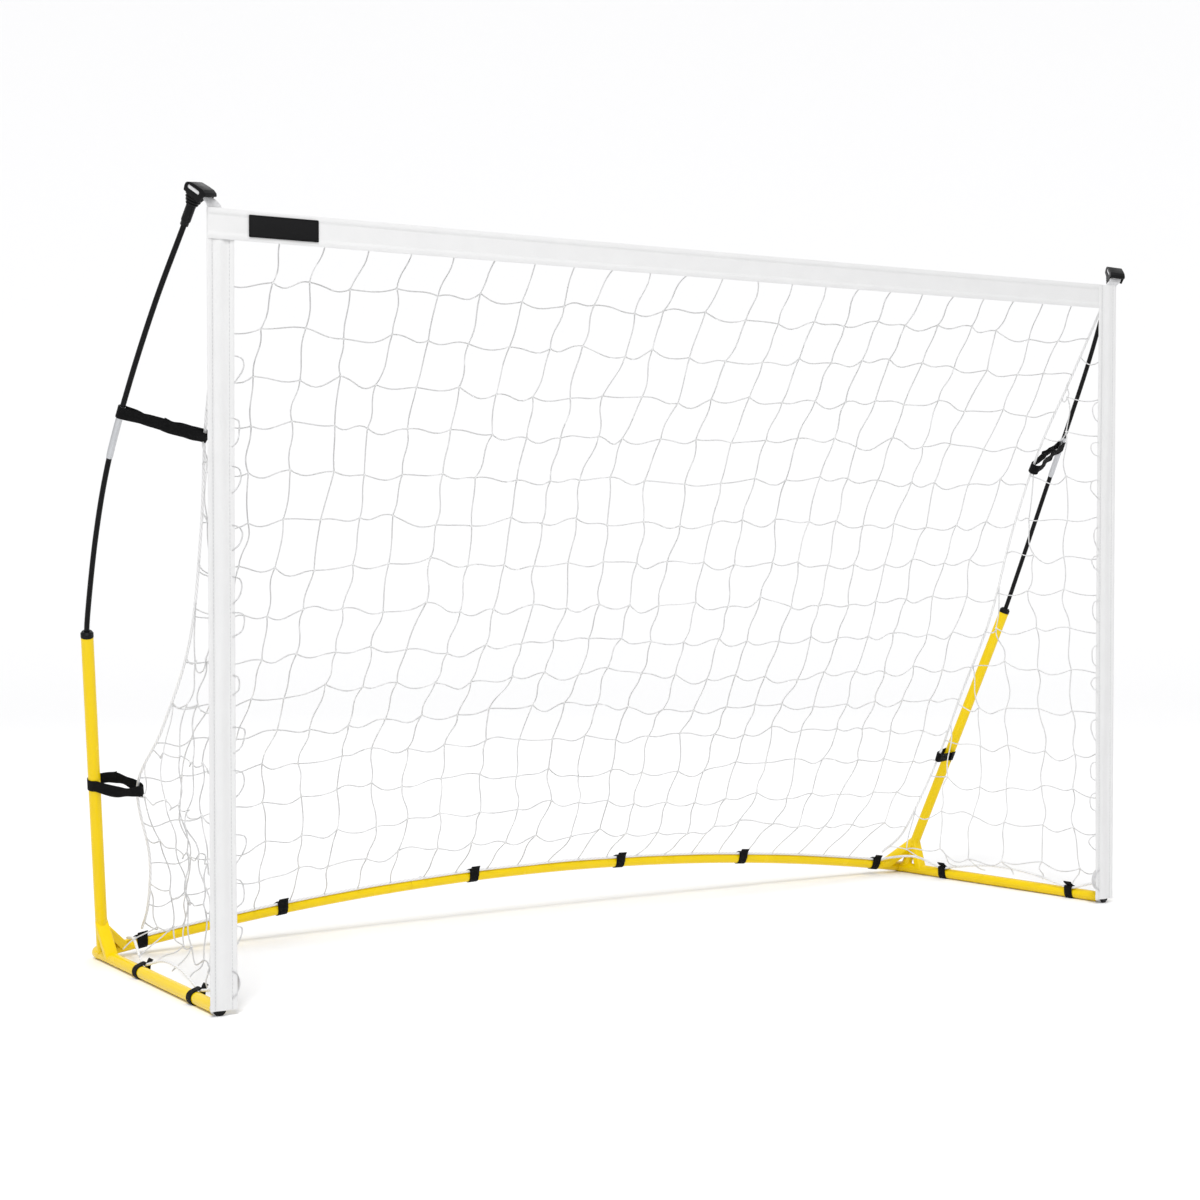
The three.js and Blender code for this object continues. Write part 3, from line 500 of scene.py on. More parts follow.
def scuff_group() -> bpy.types.NodeTree:
    """Sparse fine scratches and rubbed spots."""

    def fill(shade: Shade, start: bpy.types.Node) -> dict[str, bpy.types.NodeSocket]:
        """A stretched noise and a spotted one, each thresholded."""
        where = shade.node("TexCoord").outputs["Object"]
        long = shade.node("Mapping", Vector=where, Scale=(60.0, 9.0, 60.0))
        lines = shade.node("TexNoise", Vector=long.outputs[0], Scale=6.0, Detail=4.0)
        spots = shade.node("TexNoise", Vector=where, Scale=130.0, Detail=4.0)
        patch = shade.node("TexNoise", Vector=where, Scale=7.0, Detail=1.0)
        scratch = shade.ramp(lines.outputs[0], 0.66, 0.72, 0.0, 1.0)
        chip = shade.ramp(spots.outputs[0], 0.68, 0.74, 0.0, 1.0)
        either = shade.sum("MAXIMUM", scratch, chip)
        worn = shade.ramp(patch.outputs[0], 0.5, 0.75, 0.0, 1.0)
        share = shade.sum("MULTIPLY", either, worn)
        return {"Scuff": shade.sum("MULTIPLY", share, start.outputs["Amount"])}

    return group("scuffs", {"Amount": 0.5}, ["Scuff"], fill)


def weave_group() -> bpy.types.NodeTree:
    """Crossing threads on the UV map, which is in metres."""

    def fill(shade: Shade, start: bpy.types.Node) -> dict[str, bpy.types.NodeSocket]:
        """A checkerboard of over and under, each thread rounded."""
        parts = shade.node("SeparateXYZ", i0=shade.node("TexCoord").outputs["UV"])
        bars = []
        for axis in (0, 1):
            turns = shade.sum("DIVIDE", parts.outputs[axis], start.outputs["Thread"])
            bars.append(shade.sum("SINE", shade.sum("MULTIPLY", turns, math.pi)))
        over = shade.sum("MULTIPLY", bars[0], bars[1])
        height = shade.sum("ABSOLUTE", over)
        sign = shade.sum("MULTIPLY_ADD", over, 0.25, 0.5)
        ribs = shade.sum("MULTIPLY", shade.sum("ABSOLUTE", bars[1]), start.outputs["Rib"])
        return {"Height": shade.sum("ADD", height, ribs), "Tone": sign}

    return group("weave", {"Thread": 0.0008, "Rib": 0.0}, ["Height", "Tone"], fill)


def strand_group() -> bpy.types.NodeTree:
    """Strands twisted round a cord, on a UV map in metres."""

    def fill(shade: Shade, start: bpy.types.Node) -> dict[str, bpy.types.NodeSocket]:
        """A sine that climbs round the cord."""
        parts = shade.node("SeparateXYZ", i0=shade.node("TexCoord").outputs["UV"])
        round_it = shade.sum("DIVIDE", parts.outputs[0], start.outputs["Girth"])
        turns = shade.sum("MULTIPLY", round_it, start.outputs["Strands"])
        along = shade.sum("DIVIDE", parts.outputs[1], start.outputs["Pitch"])
        phase = shade.sum("MULTIPLY", shade.sum("ADD", turns, along), TAU)
        return {"Height": shade.sum("ABSOLUTE", shade.sum("SINE", shade.sum("MULTIPLY", phase, 0.5)))}

    return group(
        "twisted strands", {"Girth": 0.0188, "Strands": 3.0, "Pitch": 0.008}, ["Height"], fill
    )


@dataclass(frozen=True)
class Finish:
    """What every finish has: a name, the record's slot, a colour and a shine."""

    name: str
    slot: str
    color: tuple[float, float, float]
    roughness: float

    def start(self) -> tuple[Shade, bpy.types.Node, bpy.types.Material]:
        """A new material, its Principled shader and a helper for its nodes."""
        material = bpy.data.materials.new(self.name)
        material.use_nodes = True
        surface = material.node_tree.nodes["Principled BSDF"]
        surface.inputs["Roughness"].default_value = self.roughness
        surface.inputs["Base Color"].default_value = (*self.color, 1.0)
        return Shade(material.node_tree), surface, material

    def used(self, shade: Shade, tree: bpy.types.NodeTree, **values: float) -> bpy.types.Node:
        """A group node with its own values, and _ for a space in their names."""
        node = shade.node("Group", node_tree=tree)
        for key, value in values.items():
            node.inputs[key.replace("_", " ")].default_value = value
        return node

    def tinted(self, shade: Shade, surface: bpy.types.Node, mask: object, share: float) -> None:
        """Darkens the base colour where a mask is low, by a share."""
        dark = tuple(c * (1.0 - share) for c in self.color)
        color = shade.blend(mask, (*dark, 1.0), (*self.color, 1.0))
        shade.tree.links.new(color, surface.inputs["Base Color"])

    def bumped(self, shade: Shade, surface: bpy.types.Node, height: object, deep: float) -> None:
        """Feeds a height to the normal, as deep as a distance in metres."""
        bump = shade.node("Bump", Strength=1.0, Distance=deep, Height=height)
        shade.tree.links.new(bump.outputs[0], surface.inputs["Normal"])

    def material(self) -> bpy.types.Material:
        """The finished material, made once."""
        if self.name in bpy.data.materials:
            return bpy.data.materials[self.name]
        shade, surface, material = self.start()
        self.fill(shade, surface)
        return material

    def fill(self, shade: Shade, surface: bpy.types.Node) -> None:
        """Adds what makes this finish different."""
        grain = self.used(shade, grain_group())
        self.tinted(shade, surface, grain.outputs["Cloud"], 0.08)
        self.bumped(shade, surface, grain.outputs["Grain"], 0.00005)


@dataclass(frozen=True)
class PowderCoat(Finish):
    """Glossy paint baked on steel, with a faint orange-peel surface and small scuffs."""

    metal: tuple[float, float, float] = (0.36, 0.36, 0.37)

    def fill(self, shade: Shade, surface: bpy.types.Node) -> None:
        """Peel, cloudy gloss and scuffs down to a duller tone."""
        surface.inputs["Specular IOR Level"].default_value = 0.22
        surface.inputs["Coat Weight"].default_value = 0.1
        surface.inputs["Coat Roughness"].default_value = 0.12
        grain = self.used(shade, grain_group(), Fine=420.0, Broad=14.0)
        scuff = self.used(shade, scuff_group(), Amount=0.3)
        dark = tuple(c * 0.93 for c in self.color)
        cloud = shade.blend(grain.outputs["Cloud"], (*dark, 1.0), (*self.color, 1.0))
        rubbed = tuple(c * 0.72 for c in self.color)
        color = shade.blend(scuff.outputs["Scuff"], cloud, (*rubbed, 1.0))
        shade.tree.links.new(color, surface.inputs["Base Color"])
        gloss = shade.ramp(grain.outputs["Cloud"], 0.3, 0.7, self.roughness - 0.04, self.roughness + 0.05)
        rough = shade.sum("MULTIPLY_ADD", scuff.outputs["Scuff"], 0.3, gloss)
        shade.tree.links.new(rough, surface.inputs["Roughness"])
        self.bumped(shade, surface, grain.outputs["Grain"], 0.00006)


@dataclass(frozen=True)
class Moulded(Finish):
    """Moulded black plastic with a fine spark-eroded texture."""

    def fill(self, shade: Shade, surface: bpy.types.Node) -> None:
        """Fine grain, and rubbed spots that are paler."""
        surface.inputs["Specular IOR Level"].default_value = 0.16
        grain = self.used(shade, grain_group(), Fine=1500.0, Broad=40.0)
        scuff = self.used(shade, scuff_group(), Amount=0.5)
        pale = tuple(min(1.0, c * 2.6) for c in self.color)
        color = shade.blend(scuff.outputs["Scuff"], (*self.color, 1.0), (*pale, 1.0))
        shade.tree.links.new(color, surface.inputs["Base Color"])
        rough = shade.ramp(grain.outputs["Cloud"], 0.3, 0.7, self.roughness - 0.06, self.roughness + 0.06)
        shade.tree.links.new(rough, surface.inputs["Roughness"])
        self.bumped(shade, surface, grain.outputs["Grain"], 0.00008)


@dataclass(frozen=True)
class Fibreglass(Finish):
    """A black pultruded rod, with fibres that run along it."""

    def fill(self, shade: Shade, surface: bpy.types.Node) -> None:
        """Noise stretched along the rod."""
        surface.inputs["Specular IOR Level"].default_value = 0.14
        where = shade.node("TexCoord").outputs["UV"]
        long = shade.node("Mapping", Vector=where, Scale=(2600.0, 24.0, 1.0))
        fibre = shade.node("TexNoise", Vector=long.outputs[0], Scale=1.0, Detail=3.0)
        pale = tuple(c * 2.2 + 0.004 for c in self.color)
        color = shade.blend(shade.ramp(fibre.outputs[0], 0.55, 0.8, 0.0, 1.0), (*self.color, 1.0), (*pale, 1.0))
        shade.tree.links.new(color, surface.inputs["Base Color"])
        self.bumped(shade, surface, fibre.outputs[0], 0.00006)


@dataclass(frozen=True)
class BrightSteel(Finish):
    """Zinc-plated steel, with a fine grain."""

    def fill(self, shade: Shade, surface: bpy.types.Node) -> None:
        """Metal with fine grain and cloudy tarnish."""
        surface.inputs["Metallic"].default_value = 0.9
        grain = self.used(shade, grain_group(), Fine=700.0, Broad=60.0)
        self.tinted(shade, surface, grain.outputs["Cloud"], 0.18)
        rough = shade.ramp(grain.outputs["Grain"], 0.3, 0.7, self.roughness - 0.08, self.roughness + 0.1)
        shade.tree.links.new(rough, surface.inputs["Roughness"])
        self.bumped(shade, surface, grain.outputs["Grain"], 0.00004)


@dataclass(frozen=True)
class Cloth(Finish):
    """Woven cloth or tape."""

    weave: Weave = Weave.PLAIN
    thread: float = 0.0009
    depth: float = 0.00018
    sheen: float = 0.12

    def fill(self, shade: Shade, surface: bpy.types.Node) -> None:
        """Threads, a fuzz of loose fibres and a soft sheen."""
        surface.inputs["Sheen Weight"].default_value = self.sheen
        surface.inputs["Specular IOR Level"].default_value = 0.15
        surface.inputs["Sheen Roughness"].default_value = 0.5
        rib = {Weave.PLAIN: 0.0, Weave.RIBBED: 1.2, Weave.PILE: 0.3}[self.weave]
        threads = self.used(shade, weave_group(), Thread=self.thread, Rib=rib)
        grain = self.used(shade, grain_group(), Fine=1400.0, Broad=18.0)
        height = threads.outputs["Height"]
        if self.weave is Weave.PILE:
            height = shade.sum("ADD", height, shade.sum("MULTIPLY", grain.outputs["Grain"], 3.0))
        else:
            height = shade.sum("MULTIPLY_ADD", grain.outputs["Grain"], 0.5, height)
        tone = shade.sum("MULTIPLY", threads.outputs["Tone"], 0.5)
        cloud = shade.sum("MULTIPLY_ADD", grain.outputs["Cloud"], 0.5, tone)
        self.tinted(shade, surface, cloud, 0.3 if self.weave is Weave.PILE else 0.1)
        self.bumped(shade, surface, height, self.depth)


@dataclass(frozen=True)
class TwistedCord(Finish):
    """Cord or rope of twisted strands."""

    girth: float = 0.0188
    strands: float = 3.0
    pitch: float = 0.012
    depth: float = 0.0008

    def fill(self, shade: Shade, surface: bpy.types.Node) -> None:
        """Strands with painted shade in the grooves between them, and a fuzz."""
        surface.inputs["Sheen Weight"].default_value = 0.2
        values = {"Girth": self.girth, "Strands": self.strands, "Pitch": self.pitch}
        strands = self.used(shade, strand_group(), **values)
        grain = self.used(shade, grain_group(), Fine=1600.0, Broad=12.0)
        height = strands.outputs["Height"]
        # painted shade: the base colour is darkened in the grooves between the strands, where the strand height is low
        self.tinted(shade, surface, shade.ramp(height, 0.0, 0.7, 0.0, 1.0), 0.16)
        both = shade.sum("MULTIPLY_ADD", grain.outputs["Grain"], 0.3, height)
        self.bumped(shade, surface, both, self.depth)


YELLOW = PowderCoat("yellow powder coat", "painted_steel", (0.90, 0.635, 0.001), 0.24)
BLACK = Moulded("black moulded plastic", "black_plastic", (0.004, 0.004, 0.0045), 0.4)
ROD = Fibreglass("black fibreglass rod", "fibreglass", (0.003, 0.003, 0.0035), 0.3)
STEEL = BrightSteel("zinc-plated steel", "plated_steel", (0.60, 0.61, 0.63), 0.32)
BAND = Cloth("white band cloth", "white_fabric", (0.82, 0.82, 0.82), 0.85)
TAPE = Cloth("white webbing", "white_fabric", (0.80, 0.80, 0.81), 0.8, Weave.RIBBED, 0.0016, 0.0004)
LABEL = Cloth("black label cloth", "black_webbing", (0.006, 0.006, 0.0065), 0.7, Weave.PLAIN, 0.0007, 0.0001, 0.01)
LOOP = Cloth("black loop pile", "black_webbing", (0.004, 0.004, 0.0045), 0.9, Weave.PILE, 0.0018, 0.0005, 0.02)
THREAD = Cloth("pale sewing thread", "white_fabric", (0.66, 0.66, 0.67), 0.8, Weave.RIBBED, 0.0004, 0.0001)
ROPE = TwistedCord("white border rope", "net_cord", (0.86, 0.86, 0.86), 0.85)
CORD = TwistedCord("white net cord", "net_cord", (0.88, 0.88, 0.88), 0.85, 0.009, 3.0, 0.006, 0.0004)


def finish_piece(
    piece: bpy.types.Object, look: Finish, *nodes: str, body: str = "root"
) -> bpy.types.Object:
    """Dresses a piece, puts it on its body and hides the CAD nodes that it stands for.

    Args:
        piece: the piece.
        look: its finish.
        nodes: the CAD nodes that it replaces.
        body: the body that it rides on.

    Returns:
        The piece.
    """
    piece.data.materials.clear()
    piece.data.materials.append(look.material())
    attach(piece, body)
    if nodes:
        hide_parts(*nodes)
    LOG.info("%s: %d faces, %s", piece.name, len(piece.data.polygons), look.name)
    return piece


# ---- lines of the frame -------------------------------------------------------------------


@dataclass(frozen=True)
class Lines:
    """The centre lines that the pieces share."""

    tube_radius: float = 12.7
    foot_radius: float = 13.7
    base_depth: float = 705.0
    front_width: float = 2396.0
    rear_width: float = 2296.0
    rise: float = 90.0
    setback: float = 23.0
    top: tuple[float, float, float] = (1279.0, 443.0, 705.0)
    rope_radius: float = 3.0
    mouth_width: float = 2440.0
    mouth_height: float = 1524.0

    @property
    def axis_height(self) -> float:
        """The height of the base tubes' axes at the corners."""
        return self.foot_radius * math.cos(math.pi / 16)

    @property
    def arch_radius(self) -> float:
        """The radius of the rear bar's arch."""
        half = self.rear_width / 2
        return (half**2 + self.rise**2) / (2 * self.rise)

    def arch(self, x: float) -> Vector:
        """A point of the rear bar's axis."""
        centre = self.axis_height + self.rise - self.arch_radius
        return place(x, self.base_depth, centre + math.sqrt(self.arch_radius**2 - x**2))

    def arch_out(self, x: float) -> Vector:
        """The way out of the arch at a place across the goal."""
        return Vector((x, 0.0, math.sqrt(self.arch_radius**2 - x**2))).normalized()

    def side(self, side: Side, y: float) -> Vector:
        """A point of a side tube's axis."""
        half = self.front_width / 2 + (self.rear_width - self.front_width) / 2 * y / self.base_depth
        return place(side.value * half, y, self.axis_height)

    def upright_foot(self, side: Side) -> Vector:
        """Where an upright's axis meets the side tube's."""
        return self.side(side, self.base_depth - self.setback)

    def upright_top(self, side: Side) -> Vector:
        """The middle of an upright's top end."""
        return place(side.value * self.top[0], self.top[1], self.top[2])

    def upright_way(self, side: Side) -> Vector:
        """The direction of an upright, going up."""
        return (self.upright_top(side) - self.upright_foot(side)).normalized()

    def pole(self, side: Side) -> list[Vector]:
        """A pole's centre line, from inside the upright to its tip."""
        top, way = self.upright_top(side), self.upright_way(side)
        bent = [
            (1293, 365, 900), (1294, 298, 1048), (1285, 222, 1190), (1266, 129, 1357),
            (1242, 53, 1494), (1234, 26, 1542),
        ]
        lower = [top + way * length * MM for length in (-150.0, -75.0, 0.0, 13.0, 19.5)]
        return curved([*lower, *(place(side.value * x, y, z) for x, y, z in bent)], 0.004)

    def cap_frame(self, side: Side) -> Matrix:
        """A tip cap's frame at the mouth of its sleeve: Z along the pole, Y towards the field."""
        line = self.pole(side)
        way = (line[-1] - line[-3]).normalized()
        ahead = Vector((-side.value * 0.13, 0.0, -1.0))
        ahead = (ahead - ahead.dot(way) * way).normalized()
        return frame_at(line[-1] - way * 56 * MM, ahead.cross(way), way)

    def edge_rope(self, side: Side) -> list[Vector]:
        """A sloping border rope's centre line, from the mouth's corner to the rear bar."""
        left = [
            (1186, 6, 1486), (1160, 92, 1300), (1140, 178, 1138), (1118, 250, 920), (1110, 326, 690),
            (1124, 430, 510), (1135, 528, 385), (1096, 556, 230), (1080, 604, 120), (1062, 676, 62),
        ]
        right = [
            (1186, 6, 1486), (1160, 92, 1300), (1140, 178, 1128), (1118, 250, 920), (1112, 326, 690),
            (1116, 430, 500), (1135, 540, 318), (1096, 580, 190), (1082, 625, 110), (1062, 676, 62),
        ]
        points = left if side is Side.LEFT else right
        return curved([place(side.value * x, y, z) for x, y, z in points], 0.006)

    def rope_on_rear(self, x: float, lift: float = 0.0) -> Vector:
        """A point of the bottom rope where it lies on the rear bar."""
        far = self.tube_radius + 1 + self.rope_radius + lift
        return self.arch(x) + Vector((0.0, -0.6, 0.8)) * far * MM

    def rope_on_side(self, side: Side, y: float, lift: float = 0.0) -> Vector:
        """A point of the bottom rope where it lies along a side tube."""
        far = self.tube_radius + 1 + self.rope_radius
        away = Vector((-side.value * far * 0.6, 0.0, far * 0.8 + lift)) * MM
        return self.side(side, y) + away


LINES = Lines()
SIDE_STRAPS = {Side.LEFT: (137.0, 446.0), Side.RIGHT: (109.0, 536.0)}
REAR_STRAPS = (-1054.0, -715.0, -210.0, 215.0, 600.0, 1054.0)


# ---- steel base ---------------------------------------------------------------------------


@dataclass
class SteelBase:
    """The base tubes, the uprights, their folded braces and the plugs in the front ends."""

    radius: float = 12.7
    wall: float = 1.2
    sides: int = 48
    centre_length: float = 760.0
    seam: float = 0.3
    gusset_leg: float = 68.0
    gusset_rise: float = 88.0
    gusset_sheet: float = 1.6
    gusset_flange: float = 17.0
    bead: float = 2.6

    def side_tube(self, side: Side) -> None:
        """A side tube, with a rounded welded end at the rear."""
        start = LINES.side(side, 9.1)
        way = LINES.side(side, LINES.base_depth) - start
        length = way.length / MM
        end, swell = length + 12, length - 12.7
        r, big, bore = self.radius, LINES.foot_radius, self.radius - self.wall
        profile = [(0, end)]
        profile += [
            ((big - 5) + 5 * math.sin(t), end - 5 + 5 * math.cos(t))
            for t in (math.pi / 2 * k / 6 for k in range(7))
        ]
        profile += [(big, swell), (r + 0.5, swell - 3), (r, swell - 6), (r, 0.4), (r - 0.4, 0), (bore, 0)]
        profile += [(bore, end - 9), (0, end - 4)]
        mesh = turned(profile, aim(start, way), self.sides)
        finish_piece(thing(f"side_tube_{side.word}_shell", mesh), YELLOW, f"side_tube_{side.word}")

    def arc(self, name: str, start: float, end: float, node: str) -> bpy.types.Object:
        """A section of the rear bar, as a tube with its two ends open."""
        count = max(12, int(abs(end - start) / 24))
        points = [LINES.arch(start + (end - start) * k / count) for k in range(count + 1)]
        mesh = bmesh.new()
        frames = frames_along(points, Vector((0.0, 1.0, 0.0)))
        outer = circle(self.radius * MM, self.sides)
        sweep(mesh, frames, outer, capped=False)
        tube = thing(name, mesh)
        modifier = tube.modifiers.new("wall", "SOLIDIFY")
        modifier.thickness = self.wall * MM
        modifier.offset = -1.0
        return settle(tube)

    def rear_tubes(self) -> None:
        """The three sections, with a hole for each push button in the middle one."""
        half = self.centre_length / 2
        middle = self.arc("rear_tube_centre_shell", -half + self.seam, half - self.seam, "")
        for side in Side:
            x = side.value * (half - 31)
            frame = aim(LINES.arch(x), LINES.arch_out(x))
            drill = thing("drill", turned([(0, 4), (4.15, 4), (4.15, 26), (0, 26)], frame, 24))
            carve(middle, drill)
        soften(middle, 0.25)
        finish_piece(middle, YELLOW, "rear_tube_centre")
        for side in Side:
            end = LINES.rear_width / 2 - 5
            name = f"rear_tube_{side.word}"
            outer = self.arc(f"{name}_shell", side.value * (half + self.seam), side.value * end, name)
            soften(outer, 0.25)
            finish_piece(outer, YELLOW, name)

    def upright(self, side: Side) -> None:
        """An upright, whose foot is hidden in the welded corner."""
        foot = LINES.upright_foot(side)
        length = (LINES.upright_top(side) - foot).length / MM
        r, bore = self.radius, self.radius - self.wall
        profile = [(bore, 6), (r, 6), (r, length - 0.5), (r - 0.4, length), (bore, length), (bore, 6)]
        mesh = turned(profile, aim(foot, LINES.upright_way(side)), self.sides)
        name = f"upright_tube_{side.word}"
        finish_piece(thing(f"{name}_shell", mesh), YELLOW, name)

    def bead_round(self, side: Side) -> None:
        """The weld bead where an upright stands on its side tube."""
        foot, way = LINES.upright_foot(side), LINES.upright_way(side)
        along = (LINES.side(side, LINES.base_depth) - LINES.side(side, 0)).normalized()
        frame = aim(foot, way)
        points = []
        for k in range(49):
            turn = TAU * k / 48
            spoke = frame.to_3x3() @ Vector((math.cos(turn), math.sin(turn), 0.0))
            start = foot + spoke * self.radius * MM
            rise = 0.0
            for _ in range(60):
                off = start + way * rise * MM - foot
                if (off - off.dot(along) * along).length > LINES.foot_radius * MM:
                    break
                rise += 0.5
            rise = min(rise, 20.0)
            points.append(start + way * rise * MM)
        ring = points[:-1]
        mesh = bmesh.new()
        closed = [*ring, ring[0], ring[1]]
        ripple = random.Random(7)
        sizes = [self.bead * MM * (0.9 + 0.2 * ripple.random()) for _ in closed]
        sizes[-1], sizes[-2] = sizes[1], sizes[0]
        frames = frames_along(closed, way)
        sweep(mesh, frames, lambda k: circle(sizes[k], 10))
        finish_piece(thing(f"corner_weld_{side.word}", mesh), YELLOW)

    def brace(self, name: str, side: Side, corner: Vector, a: Vector, b: Vector) -> None:
        """A folded channel between two tubes.

        Args:
            name: the CAD node's name.
            side: its side of the goal.
            corner: where the tubes' axes meet.
            a: the point of the upright's axis that it reaches.
            b: the point of the base tube's axis that it reaches.
        """
        middle = (a + b) / 2
        x = (b - a).normalized()
        y = corner - middle
        y = (y - y.dot(x) * x).normalized()
        half = (b - a).length / 2 / MM
        rise = (corner - middle).dot(y) / MM
        bias = (corner - middle).dot(x) / MM
        wide = self.radius

        def end_at(depth: float, end: int) -> float:
            """Where the channel's end is, at a depth below its web."""
            return end * half + (bias - end * half) * depth / rise

        bend = 3.5
        outline = [(-wide, self.gusset_flange), (-wide, bend)]
        outline += [
            (-wide + bend - bend * math.cos(t), bend - bend * math.sin(t))
            for t in (math.pi / 2 * k / 4 for k in range(1, 5))
        ]
        outline += [(-px, py) for px, py in reversed(outline)]
        mesh = bmesh.new()
        frame = frame_at(middle, x, x.cross(y))
        steps = 10
        rows = []
        for k in range(steps + 1):
            share = k / steps
            row = []
            for across, depth in outline:
                low, high = end_at(depth, -1), end_at(depth, 1)
                spot = frame @ Vector(((low + (high - low) * share) * MM, depth * MM, across * MM))
                row.append(mesh.verts.new(spot))
            rows.append([mesh.edges.new(pair) for pair in zip(row, row[1:])])
        for first, second in zip(rows, rows[1:]):
            bmesh.ops.bridge_loops(mesh, edges=[*first, *second])
        bmesh.ops.recalc_face_normals(mesh, faces=mesh.faces)
        piece = thing(f"{name}_{side.word}_fold", mesh)
        modifier = piece.modifiers.new("sheet", "SOLIDIFY")
        modifier.thickness = self.gusset_sheet * MM
        modifier.offset = 0.0
        settle(piece)
        soften(piece, 0.35)
        finish_piece(piece, YELLOW, f"{name}_{side.word}")

    def braces(self, side: Side) -> None:
        """The two folded channels at a rear corner."""
        foot, way = LINES.upright_foot(side), LINES.upright_way(side)
        up = foot + way * self.gusset_rise * MM
        forward = LINES.side(side, LINES.base_depth - LINES.setback - self.gusset_leg)
        inboard = LINES.arch(side.value * (LINES.rear_width / 2 - self.gusset_leg))
        corner = foot.copy()
        corner.y += LINES.setback / 2 * MM
        self.brace("side_gusset", side, foot, up, forward)
        self.brace("rear_gusset", side, corner, up, inboard)

    def end_cap(self, side: Side) -> None:
        """The black plug in a side tube's front end."""
        start = LINES.side(side, 9.1)
        way = LINES.side(side, LINES.base_depth) - start
        r = LINES.foot_radius
        profile = [(0, -4.3), (r - 3.2, -4.3), (r - 1.4, -3.8), (r - 0.3, -2.6), (r, -1.6), (r, -0.3)]
        profile += [(11.2, -0.3), (11.2, 6), (10.6, 7), (11.2, 8), (11.2, 13), (10.6, 14), (10.4, 22)]
        profile += [(8.5, 22), (8.5, 0), (0, 0)]
        mesh = turned(profile, aim(start, way), self.sides)
        name = f"end_cap_{side.word}"
        finish_piece(thing(f"{name}_plug", mesh), BLACK, name)

    def build(self) -> None:
        """Every part of the base."""
        self.rear_tubes()
        for side in Side:
            self.side_tube(side)
            self.upright(side)
            self.bead_round(side)
            self.braces(side)
            self.end_cap(side)


@dataclass
class SnapJoint:
    """A spring-loaded push button of the rear bar, and the sleeve that it holds."""

    side: Side
    from_middle: float = 349.0

    def build(self) -> None:
        """The domed button, and the finish of the parts inside the bar."""
        x = self.side.value * self.from_middle
        word = self.side.word
        frame = aim(LINES.arch(x), LINES.arch_out(x))
        profile = [(0, 6.01), (3.75, 6.01), (3.75, 13.9)]
        profile += [
            (3.75 * math.cos(t), 13.9 + 1.8 * math.sin(t))
            for t in (math.pi / 2 * k / 6 for k in range(1, 7))
        ]
        profile[-1] = (0, 15.7)
        piece = thing(f"snap_button_{word}_dome", turned(profile, frame, 32))
        finish_piece(piece, STEEL, f"snap_button_{word}", body=f"button_{word}")
        for name in (f"joint_sleeve_{word}", f"button_spring_{word}"):
            dress_node(name, STEEL)
        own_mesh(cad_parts[f"button_spring_{word}"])


def dress_node(name: str, look: Finish) -> None:
    """Gives a CAD node that stays its finish."""
    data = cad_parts[name].data
    data.materials.clear()
    data.materials.append(look.material())


# ---- poles and caps -----------------------------------------------------------------------


